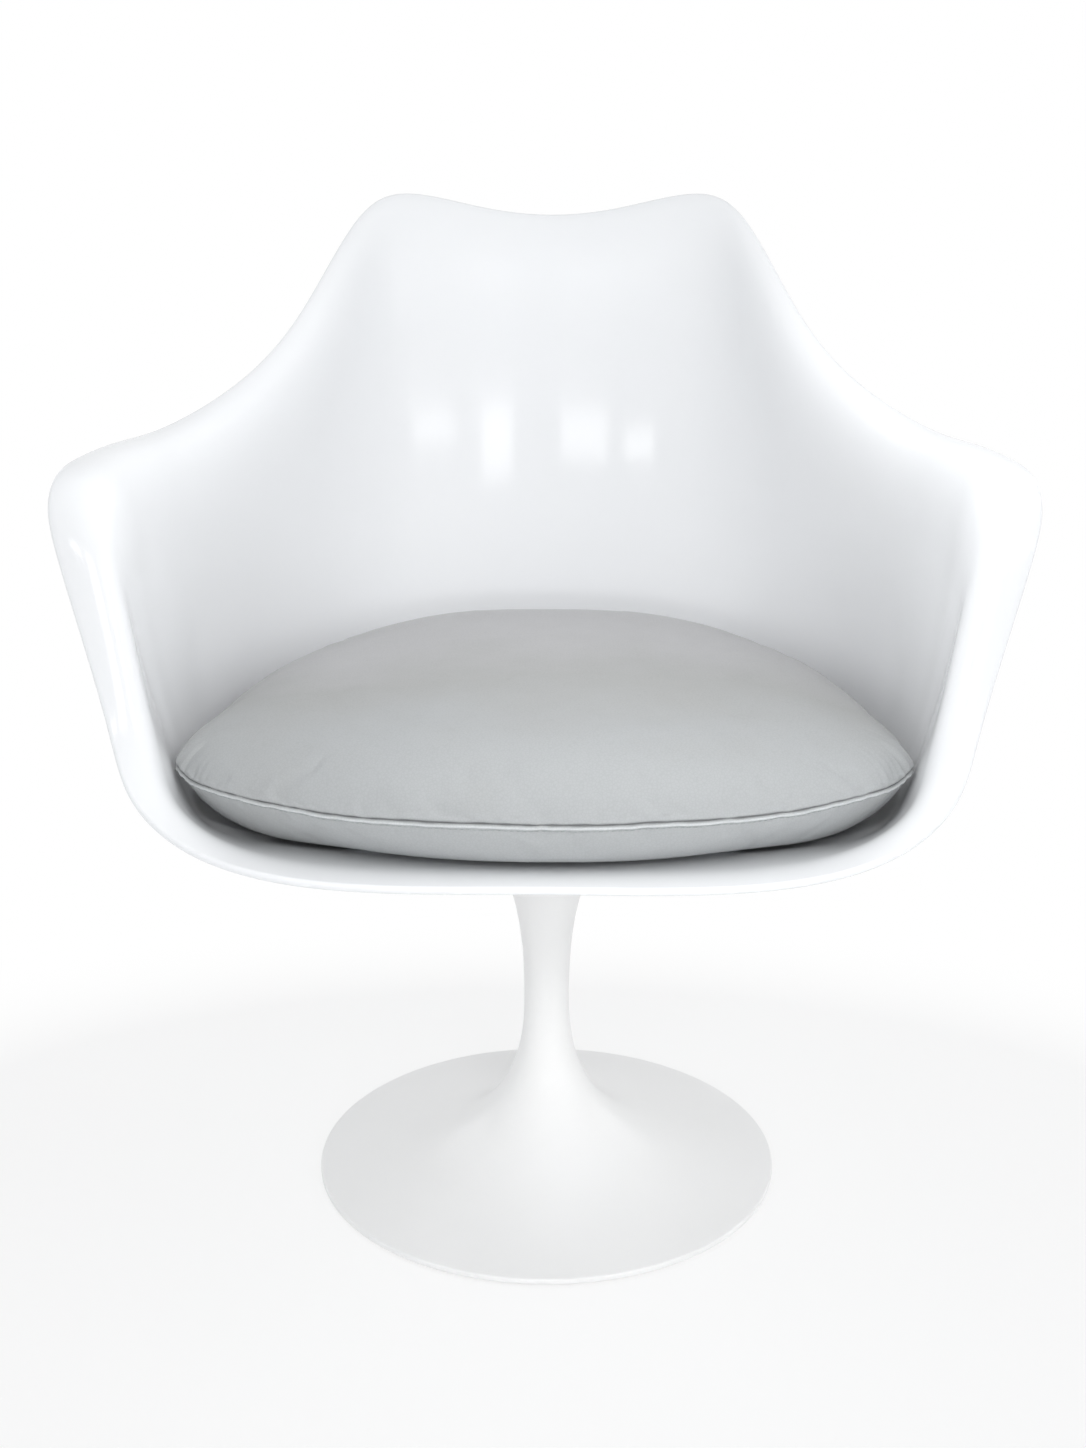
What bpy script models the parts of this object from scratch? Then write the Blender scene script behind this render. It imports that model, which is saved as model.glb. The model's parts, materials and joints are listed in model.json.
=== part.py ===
"""Pedestal armchair: a moulded shell seat that swivels on a trumpet pedestal, with a loose leather cushion.

Metres, +Z up. The origin lies on the floor on the swivel axis, and the sitter faces -Y.
"""

import math

import bmesh
import bpy
import numpy as np
from mathutils import Matrix, Vector

# Gap between solids that touch, and how far a cutter runs past a face
TOUCH_GAP = 0.0003
OVERRUN = 0.002
MERGE_DISTANCE = 0.00005
HALVINGS = 24

# Facets of the turned pieces
LARGE_STEPS = 48
MEDIUM_STEPS = 28
SMALL_STEPS = 12
DISC_STEPS = 16
SOCKET_SIDES = 6

# Pedestal casting: a thin disc that sweeps up into a waisted stem and flares out under the seat
BASE_RADIUS = 0.199
BASE_CLEARANCE = 0.0015
BASE_EDGE_HEIGHT = 0.0065
BASE_EDGE_ROUND = 0.0015
BASE_SWEEP_RISE = 0.0035
WAIST_RADIUS = 0.0194
WAIST_HEIGHT = 0.153
WAIST_LENGTH = 0.013
STEM_TOP_ROUND = 0.0008
FLARE_END_RADIUS = 0.140
SWEEP_POINTS = 11
FLARE_POINTS = 7
HOLLOW_POINTS = 7
HOLLOW_INSET = 0.012
HOLLOW_SWEEP_HEIGHT = 0.0045
HOLLOW_SHOULDER_DEPTH = 0.016
HOLLOW_BORE_STEP = 0.0019

# Glide ring, pressed into a groove under the rim
GLIDE_INSET = 0.009
GLIDE_WIDTH = 0.008
GLIDE_GROOVE_DEPTH = 0.0015

# Swivel bearing: a spindle in two bushes, carried on a thrust washer
SPINDLE_RADIUS = 0.010
RUNNING_GAP = 0.0003
BUSH_WALL = 0.0027
BUSH_LENGTH = 0.024
LOWER_BUSH_DEPTH = 0.005
BORE_RELIEF = 0.0015
THRUST_WASHER_WIDTH = 0.0197
THRUST_WASHER_THICKNESS = 0.002
SPINDLE_HEAD_OVERHANG = 0.0075
SPINDLE_HEAD_THICKNESS = 0.004
SPINDLE_TAIL = 0.006
SPINDLE_CHAMFER = 0.001
RETAINING_WASHER_WIDTH = 0.0039
RETAINING_WASHER_THICKNESS = 0.0016
RETAINING_RING_OVERHANG = 0.0025
RETAINING_RING_THICKNESS = 0.0012
RETAINING_RING_MOUTH = 0.008
RING_GROOVE_DEPTH = 0.0012

# Seat hub: the cast plate that joins the spindle to the shell
NECK_SKIRT_WALL = 0.0068
HUB_THICKNESS = 0.010
HUB_EDGE_ROUND = 0.001
SCREW_INSET = 0.016
SCREW_COUNT = 4
SCREW_RADIUS = 0.003
SCREW_LENGTH = 0.014
SCREW_HEAD_RADIUS = 0.005
SCREW_HEAD_HEIGHT = 0.0042
SCREW_SOCKET_RADIUS = 0.0025
SCREW_SOCKET_DEPTH = 0.0022
SCREW_WASHER_RADIUS = 0.0054
SCREW_WASHER_THICKNESS = 0.0012
INSERT_RADIUS = 0.0052
INSERT_LENGTH = 0.013
INSERT_FLANGE_RADIUS = 0.0070
INSERT_FLANGE_THICKNESS = 0.0012

# Moulded shell
SHELL_HALF_WIDTH = 0.350
SHELL_FRONT = 0.297
SHELL_BACK = 0.292
SHELL_THICKNESS = 0.006
SHELL_EDGE_ROUND = 0.0022
PAN_HEIGHT = 0.352
SEAT_EDGE_RISE = 0.0275
BACK_HEIGHT = 0.8175
NECK_DEPTH = 0.034
NECK_MARGIN = 0.005
LIP_WIDTH = 0.050
WALL_LEAN = 0.073
FOOT_RISE = 0.012
FRONT_FOOT_RISE = 0.020
FRONT_ROLL_LENGTH = 0.092
BACK_LEAN = 0.078
FOOT_MIDDLE = 0.030
FOOT_FRONT_POWER = 3.4
FOOT_BACK_POWER = 2.2
COLUMNS_PER_STATION = 2
ROWS_PER_SPAN = (3, 3, 3, 5)
EDGE_SEGMENTS = 2
EDGE_ANGLE = math.radians(50)
WALL_PLACE = 2.5
NORMAL_STEP = 0.01
NECK_POINTS = 5
NECK_GAP = 0.001

# The rim of half of the shell, from the middle of the seat front round the arm to the middle of the back.
# Each row has shares of the half width, of the front or back reach, and of the rise from seat edge to shoulder.
RIM_SHARES = (
    (0.000, -1.000, 0.000),
    (0.374, -0.988, 0.000),
    (0.674, -0.882, 0.018),
    (0.838, -0.772, 0.086),
    (0.896, -0.705, 0.205),
    (0.981, -0.650, 0.462),
    (1.000, -0.625, 0.552),
    (0.993, -0.579, 0.593),
    (0.973, -0.460, 0.611),
    (0.924, -0.270, 0.618),
    (0.863, -0.088, 0.622),
    (0.722, 0.247, 0.682),
    (0.607, 0.514, 0.790),
    (0.508, 0.765, 0.934),
    (0.400, 0.905, 1.002),
    (0.193, 0.978, 0.977),
    (0.000, 1.000, 0.959),
)

# Where the lip starts to roll out, from the rim point of the same row, in shares of the lip width
LIP_SHARES = (
    (0.00, 0.40, 0.13),
    (-0.04, 0.40, 0.13),
    (-0.26, 0.34, 0.13),
    (-0.48, 0.10, 0.12),
    (-0.62, -0.06, 0.07),
    (-0.90, -0.15, 0.03),
    (-0.98, -0.14, 0.08),
    (-1.00, -0.05, 0.14),
    (-0.94, 0.00, 0.16),
    (-0.84, -0.12, 0.12),
    (-0.72, -0.24, 0.06),
    (-0.54, -0.28, -0.14),
    (-0.44, -0.28, -0.22),
    (-0.32, -0.32, -0.26),
    (-0.14, -0.38, -0.34),
    (-0.03, -0.40, -0.32),
    (0.00, -0.40, -0.32),
)

# The foot of the wall under each of those rim points, as turns round the pan from front (-1) to back (1)
FOOT_TURN_SHARES = (
    -1.00, -0.80, -0.53, -0.38, -0.29, -0.18, -0.11, -0.07, -0.02,
    0.06, 0.15, 0.33, 0.50, 0.63, 0.74, 0.87, 1.00,
)
FLOOR_MIDDLE_SHARE = 0.5
WALL_LOW_SHARE = 0.28
WALL_HIGH_SHARE = 0.70
WALL_BULGE_SHARE = 0.035
BACK_BULGE_SHARE = 0.045

# Hook-and-loop discs that hold the cushion, by how far inside the wall's foot they lie
DISC_RADIUS = 0.022
HOOK_DISC_THICKNESS = 0.002
LOOP_DISC_THICKNESS = 0.0016
DISC_SLACK = 0.0006
FRONT_DISC_SIDE_INSET = 0.153
FRONT_DISC_INSET = 0.018
BACK_DISC_SIDE_INSET = 0.172
BACK_DISC_INSET = 0.094

# Cushion: a crowned top panel and an under panel that follows the pan, sewn to each other round a foam core
SEAM_RISE = 0.066
SEAM_GAP = 0.0008
CUSHION_SIDE_GAP = 0.007
CUSHION_FRONT_SETBACK = 0.020
CUSHION_BACK_GAP = 0.002
CUSHION_MIDDLE = 0.040
CUSHION_CROWN = 0.051
CROWN_POWER = 3.0
SIDE_CROWN_POWER = 2.1
SIDE_START_SHARE = 0.35
SIDE_END_SHARE = 0.90
LEATHER_THICKNESS = 0.0014
CORE_GAP = 0.0007
UNDER_FULLNESS_SHARE = 0.55
CROWN_TURN_SHARES = (0.0, 0.13, 0.27, 0.43, 0.60, 0.80)
UNDER_PLACE_SHARES = (0.0, 0.7)
UNDER_CURVE_SHARES = (0.0, 0.3, 0.6, 0.82, 1.0)

# The seam of half of the cushion in plan, from the middle of its front round the corner to the middle of
# its back, in shares of its half width and of its front or back reach. The third share is how far out from
# the cushion's middle its underside lies on the pan.
SEAM_SHARES = (
    (0.000, -1.000, 0.92),
    (0.460, -0.952, 0.85),
    (0.810, -0.800, 0.76),
    (1.000, -0.600, 0.71),
    (1.005, -0.340, 0.76),
    (0.957, -0.020, 0.84),
    (0.800, 0.500, 0.88),
    (0.460, 0.895, 0.90),
    (0.000, 1.010, 0.90),
)
SEAM_COLUMNS_PER_STATION = 2

PARTS = "pedestal_armchair"
CUTTERS = "cutters"

# Heights up the stem
SHELL_UNDERSIDE = PAN_HEIGHT - SHELL_THICKNESS
STEM_TOP_HEIGHT = SHELL_UNDERSIDE - NECK_DEPTH
NECK_BOTTOM = STEM_TOP_HEIGHT + NECK_GAP
FLARE_START_HEIGHT = WAIST_HEIGHT + WAIST_LENGTH
BASE_SWEEP_HEIGHT = BASE_EDGE_HEIGHT + BASE_SWEEP_RISE
LOWER_BUSH_BOTTOM = WAIST_HEIGHT - LOWER_BUSH_DEPTH
LOWER_BUSH_TOP = LOWER_BUSH_BOTTOM + BUSH_LENGTH
UPPER_BUSH_BOTTOM = STEM_TOP_HEIGHT - BUSH_LENGTH
HOLLOW_TOP_HEIGHT = LOWER_BUSH_BOTTOM - HOLLOW_SHOULDER_DEPTH
THRUST_WASHER_BOTTOM = STEM_TOP_HEIGHT + TOUCH_GAP
HUB_BOTTOM = THRUST_WASHER_BOTTOM + THRUST_WASHER_THICKNESS + TOUCH_GAP
HUB_TOP = HUB_BOTTOM + HUB_THICKNESS
NECK_FACE_HEIGHT = HUB_TOP + TOUCH_GAP
SPINDLE_HEAD_BOTTOM = HUB_TOP - SPINDLE_HEAD_THICKNESS
RETAINING_WASHER_TOP = LOWER_BUSH_BOTTOM - 2 * TOUCH_GAP
RETAINING_RING_TOP = RETAINING_WASHER_TOP - RETAINING_WASHER_THICKNESS - TOUCH_GAP
RETAINING_RING_BOTTOM = RETAINING_RING_TOP - RETAINING_RING_THICKNESS
SPINDLE_BOTTOM = RETAINING_RING_BOTTOM - TOUCH_GAP - SPINDLE_TAIL
COUNTERBORE_DEPTH = SCREW_HEAD_HEIGHT + SCREW_WASHER_THICKNESS + 3 * TOUCH_GAP
COUNTERBORE_TOP = HUB_BOTTOM + COUNTERBORE_DEPTH

# Radii round the spindle and under the base
BUSH_BORE_RADIUS = SPINDLE_RADIUS + RUNNING_GAP
BUSH_RADIUS = BUSH_BORE_RADIUS + BUSH_WALL
BUSH_POCKET_RADIUS = BUSH_RADIUS + TOUCH_GAP
STEM_BORE_RADIUS = SPINDLE_RADIUS + BORE_RELIEF
HOLLOW_BORE_RADIUS = BUSH_POCKET_RADIUS + HOLLOW_BORE_STEP
THRUST_WASHER_RADIUS = BUSH_BORE_RADIUS + THRUST_WASHER_WIDTH
SPINDLE_HEAD_RADIUS = SPINDLE_RADIUS + SPINDLE_HEAD_OVERHANG
RETAINING_WASHER_RADIUS = BUSH_BORE_RADIUS + RETAINING_WASHER_WIDTH
RETAINING_RING_RADIUS = SPINDLE_RADIUS + RETAINING_RING_OVERHANG
COUNTERBORE_RADIUS = SCREW_WASHER_RADIUS + TOUCH_GAP
GLIDE_MEAN_RADIUS = BASE_RADIUS - GLIDE_INSET
HOLLOW_RADIUS = GLIDE_MEAN_RADIUS - HOLLOW_INSET

# The shell's seat edge and the foot of its wall, and the cushion and discs that fit inside that foot
SEAT_EDGE_HEIGHT = PAN_HEIGHT + SEAT_EDGE_RISE
PAN_FLAT_RADIUS = FLARE_END_RADIUS + NECK_MARGIN
FOOT_HALF_WIDTH = SHELL_HALF_WIDTH - WALL_LEAN
FOOT_FRONT = SHELL_FRONT - FRONT_ROLL_LENGTH
FOOT_BACK = SHELL_BACK - BACK_LEAN
FRONT_DISC_OFFSET = FOOT_HALF_WIDTH - FRONT_DISC_SIDE_INSET
FRONT_DISC_FORWARD = FOOT_FRONT - FRONT_DISC_INSET
BACK_DISC_OFFSET = FOOT_HALF_WIDTH - BACK_DISC_SIDE_INSET
BACK_DISC_BACKWARD = FOOT_BACK - BACK_DISC_INSET
DISC_STACK = HOOK_DISC_THICKNESS + LOOP_DISC_THICKNESS + 3 * TOUCH_GAP + DISC_SLACK
SEAM_HEIGHT = PAN_HEIGHT + SEAM_RISE
CUSHION_HALF_WIDTH = FOOT_HALF_WIDTH - CUSHION_SIDE_GAP
CUSHION_FRONT = SHELL_FRONT - CUSHION_FRONT_SETBACK
CUSHION_BACK = FOOT_BACK - CUSHION_BACK_GAP


def flare_radius(height):
    """The radius of the flare that runs from the stem's waist, past the swivel joint, into the shell's underside."""
    share = (SHELL_UNDERSIDE - height) / (SHELL_UNDERSIDE - FLARE_START_HEIGHT)
    return WAIST_RADIUS + (FLARE_END_RADIUS - WAIST_RADIUS) * (1 - math.sqrt(share)) ** 2


# The hub fits inside the skirt of the neck, and its screws inside its edge
HUB_RADIUS = flare_radius(NECK_BOTTOM) - NECK_SKIRT_WALL
SCREW_CIRCLE_RADIUS = HUB_RADIUS - SCREW_INSET


def clear_scene():
    """Removes what the scene holds, and makes the two collections."""
    for obj in list(bpy.data.objects):
        bpy.data.objects.remove(obj, do_unlink=True)
    for name in (PARTS, CUTTERS):
        collection = bpy.data.collections.new(name)
        bpy.context.scene.collection.children.link(collection)


def make_material(name, color, roughness, metallic=0.0, coat=0.0):
    """A Principled BSDF material."""
    material = bpy.data.materials.new(name)
    material.use_nodes = True
    shader = material.node_tree.nodes["Principled BSDF"]
    shader.inputs["Base Color"].default_value = (*color, 1.0)
    shader.inputs["Roughness"].default_value = roughness
    shader.inputs["Metallic"].default_value = metallic
    shader.inputs["Coat Weight"].default_value = coat
    material.diffuse_color = (*color, 1.0)
    return material


def make_materials():
    """Every finish of the chair, by name."""
    return {
        "shell": make_material("white_gelcoat", (0.86, 0.87, 0.89), 0.12, coat=0.5),
        "casting": make_material("white_enamel", (0.86, 0.86, 0.85), 0.25),
        "glide": make_material("black_polymer", (0.03, 0.03, 0.03), 0.6),
        "bush": make_material("cream_polymer", (0.75, 0.70, 0.58), 0.5),
        "steel": make_material("zinc_plated_steel", (0.62, 0.63, 0.65), 0.35, 1.0),
        "hub": make_material("cast_aluminium", (0.72, 0.73, 0.74), 0.45, 1.0),
        "brass": make_material("brass", (0.72, 0.53, 0.25), 0.35, 1.0),
        "disc": make_material("white_fastener_tape", (0.80, 0.82, 0.85), 0.8),
        "leather": make_material("grey_green_leather", (0.50, 0.54, 0.53), 0.5),
        "foam": make_material("pale_foam", (0.80, 0.76, 0.62), 0.95),
    }


def add_object(name, mesh, material=None, collection=PARTS):
    """An object for a mesh, in the parts or the cutters."""
    obj = bpy.data.objects.new(name, mesh)
    bpy.data.collections[collection].objects.link(obj)
    if collection == CUTTERS:
        obj.hide_render = True
        obj.display_type = "WIRE"
    if material:
        mesh.materials.append(material)
    return obj


def turned_mesh_object(name, profile, steps, material=None, collection=PARTS):
    """A closed profile of (radius, height) points turned round Z. It runs down its outer side first."""
    mesh = bpy.data.meshes.new(name)
    points = [(radius, 0.0, height) for radius, height in profile]
    edges = [(i, (i + 1) % len(points)) for i in range(len(points))]
    mesh.from_pydata(points, edges, [])
    obj = add_object(name, mesh, material, collection)
    screw = obj.modifiers.new("turn", "SCREW")
    screw.steps = steps
    screw.render_steps = steps
    screw.use_merge_vertices = True
    screw.merge_threshold = MERGE_DISTANCE
    screw.use_smooth_shade = True
    return obj


def cylinder_mesh(name, radius, height, steps):
    """A closed cylinder that stands on its origin."""
    mesh = bpy.data.meshes.new(name)
    shape = bmesh.new()
    bmesh.ops.create_cone(
        shape, cap_ends=True, segments=steps, radius1=radius, radius2=radius, depth=height,
        matrix=Matrix.Translation((0.0, 0.0, height / 2)),
    )
    shape.to_mesh(mesh)
    shape.free()
    return mesh


def boolean(obj, other, operation):
    """Adds an exact Boolean with another mesh object."""
    modifier = obj.modifiers.new(other.name, "BOOLEAN")
    modifier.operation = operation
    modifier.object = other
    modifier.solver = "EXACT"


def washer_profile(inner, outer, bottom, top):
    """A rectangle of (radius, height) points."""
    return ((inner, top), (outer, top), (outer, bottom), (inner, bottom))


def parabola(start, corner, end, count):
    """Points of a parabola from start to end, whose end tangents meet at the corner. The start is included."""
    points = []
    for i in range(count + 1):
        t = i / count
        points.append(tuple(
            (1 - t) ** 2 * a + 2 * t * (1 - t) * b + t ** 2 * c for a, b, c in zip(start, corner, end)
        ))
    return points


def flare(top, bottom, count):
    """Points of that flare from one height down to another."""
    heights = [top + (bottom - top) * i / count for i in range(count + 1)]
    return [(flare_radius(height), height) for height in heights]


def base_profile():
    """The casting's section: down the outside from the stem's top, then up the hollow and the bore."""
    top_edge = STEM_TOP_HEIGHT - STEM_TOP_ROUND
    waist = (WAIST_RADIUS, WAIST_HEIGHT)
    rim_top = (BASE_RADIUS - BASE_EDGE_ROUND, BASE_EDGE_HEIGHT)
    sweep = parabola(waist, (WAIST_RADIUS, BASE_SWEEP_HEIGHT), rim_top, SWEEP_POINTS)
    groove_outer = GLIDE_MEAN_RADIUS + GLIDE_WIDTH / 2 + TOUCH_GAP
    groove_inner = GLIDE_MEAN_RADIUS - GLIDE_WIDTH / 2 - TOUCH_GAP
    groove_top = BASE_CLEARANCE + GLIDE_GROOVE_DEPTH
    hollow = parabola(
        (HOLLOW_RADIUS, BASE_CLEARANCE),
        (HOLLOW_BORE_RADIUS, HOLLOW_SWEEP_HEIGHT),
        (HOLLOW_BORE_RADIUS, HOLLOW_TOP_HEIGHT),
        HOLLOW_POINTS,
    )
    return [
        (BUSH_POCKET_RADIUS, STEM_TOP_HEIGHT),
        (flare_radius(top_edge) - STEM_TOP_ROUND, STEM_TOP_HEIGHT),
        *flare(top_edge, FLARE_START_HEIGHT, FLARE_POINTS),
        *sweep,
        (BASE_RADIUS, BASE_EDGE_HEIGHT - BASE_EDGE_ROUND),
        (BASE_RADIUS, BASE_CLEARANCE + BASE_EDGE_ROUND),
        (BASE_RADIUS - BASE_EDGE_ROUND, BASE_CLEARANCE),
        (groove_outer, BASE_CLEARANCE),
        (groove_outer, groove_top),
        (groove_inner, groove_top),
        (groove_inner, BASE_CLEARANCE),
        *hollow,
        (HOLLOW_BORE_RADIUS, LOWER_BUSH_BOTTOM - TOUCH_GAP),
        (BUSH_POCKET_RADIUS, LOWER_BUSH_BOTTOM - TOUCH_GAP),
        (BUSH_POCKET_RADIUS, LOWER_BUSH_TOP + TOUCH_GAP),
        (STEM_BORE_RADIUS, LOWER_BUSH_TOP + TOUCH_GAP),
        (STEM_BORE_RADIUS, UPPER_BUSH_BOTTOM - TOUCH_GAP),
        (BUSH_POCKET_RADIUS, UPPER_BUSH_BOTTOM - TOUCH_GAP),
    ]


def make_base(materials):
    """The casting, its glide ring, and the bearing pieces that stay with it."""
    turned_mesh_object("base_casting", base_profile(), LARGE_STEPS, materials["casting"])
    glide_inner = GLIDE_MEAN_RADIUS - GLIDE_WIDTH / 2
    glide_outer = GLIDE_MEAN_RADIUS + GLIDE_WIDTH / 2
    glide_top = BASE_CLEARANCE + GLIDE_GROOVE_DEPTH - TOUCH_GAP
    glide = washer_profile(glide_inner, glide_outer, 0.0, glide_top)
    turned_mesh_object("floor_glide_ring", glide, LARGE_STEPS, materials["glide"])
    for name, bottom in (("upper_bush", UPPER_BUSH_BOTTOM), ("lower_bush", LOWER_BUSH_BOTTOM)):
        profile = washer_profile(BUSH_BORE_RADIUS, BUSH_RADIUS, bottom, bottom + BUSH_LENGTH)
        turned_mesh_object(name, profile, MEDIUM_STEPS, materials["bush"])
    thrust = washer_profile(
        BUSH_BORE_RADIUS, THRUST_WASHER_RADIUS,
        THRUST_WASHER_BOTTOM, THRUST_WASHER_BOTTOM + THRUST_WASHER_THICKNESS,
    )
    turned_mesh_object("thrust_washer", thrust, MEDIUM_STEPS, materials["bush"])


def make_spindle(materials):
    """The spindle with its head and ring groove, and the washer and open ring that keep it in the stem."""
    groove_radius = SPINDLE_RADIUS - RING_GROOVE_DEPTH
    groove_top = RETAINING_RING_TOP + TOUCH_GAP
    groove_bottom = RETAINING_RING_BOTTOM - TOUCH_GAP
    profile = [
        (0.0, HUB_TOP),
        (SPINDLE_HEAD_RADIUS, HUB_TOP),
        (SPINDLE_HEAD_RADIUS, SPINDLE_HEAD_BOTTOM),
        (SPINDLE_RADIUS, SPINDLE_HEAD_BOTTOM),
        (SPINDLE_RADIUS, groove_top),
        (groove_radius, groove_top),
        (groove_radius, groove_bottom),
        (SPINDLE_RADIUS, groove_bottom),
        (SPINDLE_RADIUS, SPINDLE_BOTTOM + SPINDLE_CHAMFER),
        (SPINDLE_RADIUS - SPINDLE_CHAMFER, SPINDLE_BOTTOM),
        (0.0, SPINDLE_BOTTOM),
    ]
    turned_mesh_object("swivel_spindle", profile, MEDIUM_STEPS, materials["steel"])

    washer = washer_profile(
        BUSH_BORE_RADIUS, RETAINING_WASHER_RADIUS,
        RETAINING_WASHER_TOP - RETAINING_WASHER_THICKNESS, RETAINING_WASHER_TOP,
    )
    turned_mesh_object("retaining_washer", washer, MEDIUM_STEPS, materials["steel"])

    ring_profile = washer_profile(
        groove_radius + TOUCH_GAP, RETAINING_RING_RADIUS, RETAINING_RING_BOTTOM, RETAINING_RING_TOP
    )
    ring = turned_mesh_object("retaining_ring", ring_profile, MEDIUM_STEPS, materials["steel"])
    mouth_mesh = bpy.data.meshes.new("ring_mouth")
    mouth = bmesh.new()
    bmesh.ops.create_cube(mouth, size=1.0)
    bmesh.ops.scale(
        mouth, verts=mouth.verts,
        vec=(RETAINING_RING_MOUTH, RETAINING_RING_RADIUS + OVERRUN, RETAINING_RING_THICKNESS + 2 * OVERRUN),
    )
    mouth.to_mesh(mouth_mesh)
    mouth.free()
    cutter = add_object("ring_mouth", mouth_mesh, collection=CUTTERS)
    cutter.location = (
        0.0,
        (RETAINING_RING_RADIUS + OVERRUN) / 2,
        (RETAINING_RING_TOP + RETAINING_RING_BOTTOM) / 2,
    )
    boolean(ring, cutter, "DIFFERENCE")


def screw_places():
    """Where the hub's screws stand, on their circle."""
    places = []
    for i in range(SCREW_COUNT):
        angle = math.pi / SCREW_COUNT + 2 * math.pi * i / SCREW_COUNT
        places.append((SCREW_CIRCLE_RADIUS * math.cos(angle), SCREW_CIRCLE_RADIUS * math.sin(angle)))
    return places


def make_hub(materials):
    """The plate between spindle and shell, with a seat for the spindle's head and counterbored screw holes."""
    head_pocket_radius = SPINDLE_HEAD_RADIUS + TOUCH_GAP
    head_pocket_bottom = SPINDLE_HEAD_BOTTOM - TOUCH_GAP
    profile = [
        (head_pocket_radius, HUB_TOP),
        (HUB_RADIUS - HUB_EDGE_ROUND, HUB_TOP),
        (HUB_RADIUS, HUB_TOP - HUB_EDGE_ROUND),
        (HUB_RADIUS, HUB_BOTTOM + HUB_EDGE_ROUND),
        (HUB_RADIUS - HUB_EDGE_ROUND, HUB_BOTTOM),
        (BUSH_BORE_RADIUS, HUB_BOTTOM),
        (BUSH_BORE_RADIUS, head_pocket_bottom),
        (head_pocket_radius, head_pocket_bottom),
    ]
    hub = turned_mesh_object("seat_hub", profile, LARGE_STEPS, materials["hub"])
    hole = [
        (0.0, HUB_TOP + OVERRUN),
        (SCREW_RADIUS + TOUCH_GAP, HUB_TOP + OVERRUN),
        (SCREW_RADIUS + TOUCH_GAP, COUNTERBORE_TOP),
        (COUNTERBORE_RADIUS, COUNTERBORE_TOP),
        (COUNTERBORE_RADIUS, HUB_BOTTOM - OVERRUN),
        (0.0, HUB_BOTTOM - OVERRUN),
    ]
    for number, (x, y) in enumerate(screw_places(), 1):
        cutter = turned_mesh_object(f"hub_hole_{number}", hole, SMALL_STEPS, collection=CUTTERS)
        cutter.location = (x, y, 0.0)
        boolean(hub, cutter, "DIFFERENCE")


def make_hub_screws(materials):
    """Socket screws with washers, up through the hub into the threaded inserts moulded in the shell."""
    washer_top = COUNTERBORE_TOP - TOUCH_GAP
    washer_bottom = washer_top - SCREW_WASHER_THICKNESS
    head_top = washer_bottom - TOUCH_GAP
    head_bottom = head_top - SCREW_HEAD_HEIGHT
    screw_profile = [
        (0.0, head_top + SCREW_LENGTH),
        (SCREW_RADIUS, head_top + SCREW_LENGTH),
        (SCREW_RADIUS, head_top),
        (SCREW_HEAD_RADIUS, head_top),
        (SCREW_HEAD_RADIUS, head_bottom),
        (0.0, head_bottom),
    ]
    bore = SCREW_RADIUS + TOUCH_GAP
    washer = washer_profile(bore, SCREW_WASHER_RADIUS, washer_bottom, washer_top)
    flange_top = NECK_FACE_HEIGHT + INSERT_FLANGE_THICKNESS
    insert = [
        (bore, NECK_FACE_HEIGHT + INSERT_LENGTH),
        (INSERT_RADIUS, NECK_FACE_HEIGHT + INSERT_LENGTH),
        (INSERT_RADIUS, flange_top),
        (INSERT_FLANGE_RADIUS, flange_top),
        (INSERT_FLANGE_RADIUS, NECK_FACE_HEIGHT),
        (bore, NECK_FACE_HEIGHT),
    ]
    socket_mesh = cylinder_mesh("socket", SCREW_SOCKET_RADIUS, SCREW_SOCKET_DEPTH + OVERRUN, SOCKET_SIDES)
    for number, (x, y) in enumerate(screw_places(), 1):
        screw = turned_mesh_object(f"hub_screw_{number}", screw_profile, SMALL_STEPS, materials["steel"])
        socket = add_object(f"screw_socket_{number}", socket_mesh, collection=CUTTERS)
        socket.location = (x, y, head_bottom - OVERRUN)
        boolean(screw, socket, "DIFFERENCE")
        ring = turned_mesh_object(f"hub_washer_{number}", washer, SMALL_STEPS, materials["steel"])
        sleeve = turned_mesh_object(f"shell_insert_{number}", insert, SMALL_STEPS, materials["brass"])
        for obj in (screw, ring, sleeve):
            obj.location = (x, y, 0.0)


class ClosedCurve:
    """A smooth closed curve through points that pass at the given knots. Half of it mirrors the other in X."""

    def __init__(self, half_points, knots):
        right = np.array(half_points)
        left = right[-2:0:-1] * np.array([-1.0] + [1.0] * (right.shape[1] - 1))
        self.points = np.vstack([right, left])
        self.knots = knots
        count = len(self.points)
        step = np.diff(np.append(knots, knots[-1] + knots[1] - knots[0]))
        matrix = np.zeros((count, count))
        target = np.zeros(self.points.shape)
        slope = (np.roll(self.points, -1, axis=0) - self.points) / step[:, None]
        for i in range(count):
            matrix[i, i - 1] += step[i - 1]
            matrix[i, i] += 2 * (step[i - 1] + step[i])
            matrix[i, (i + 1) % count] += step[i]
            target[i] = 6 * (slope[i] - slope[i - 1])
        self.bend = np.linalg.solve(matrix, target)
        self.step = step

    def at(self, place):
        """The point at a place counted in stations, such as 2.5 for half way from the third to the fourth."""
        count = len(self.points)
        i = int(math.floor(place)) % count
        t = place - math.floor(place)
        j = (i + 1) % count
        h = self.step[i]
        a = 1 - t
        return (
            a * self.points[i] + t * self.points[j]
            + h * h / 6 * ((a ** 3 - a) * self.bend[i] + (t ** 3 - t) * self.bend[j])
        )


def closed_knots(half_points):
    """Chord-length knots of the closed curve whose half is given."""
    right = np.array(half_points)
    left = right[-2:0:-1] * np.array([-1.0] + [1.0] * (right.shape[1] - 1))
    points = np.vstack([right, left])
    chords = np.sqrt(np.linalg.norm(np.diff(points, axis=0), axis=1))
    return np.concatenate([[0.0], np.cumsum(chords)])


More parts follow.
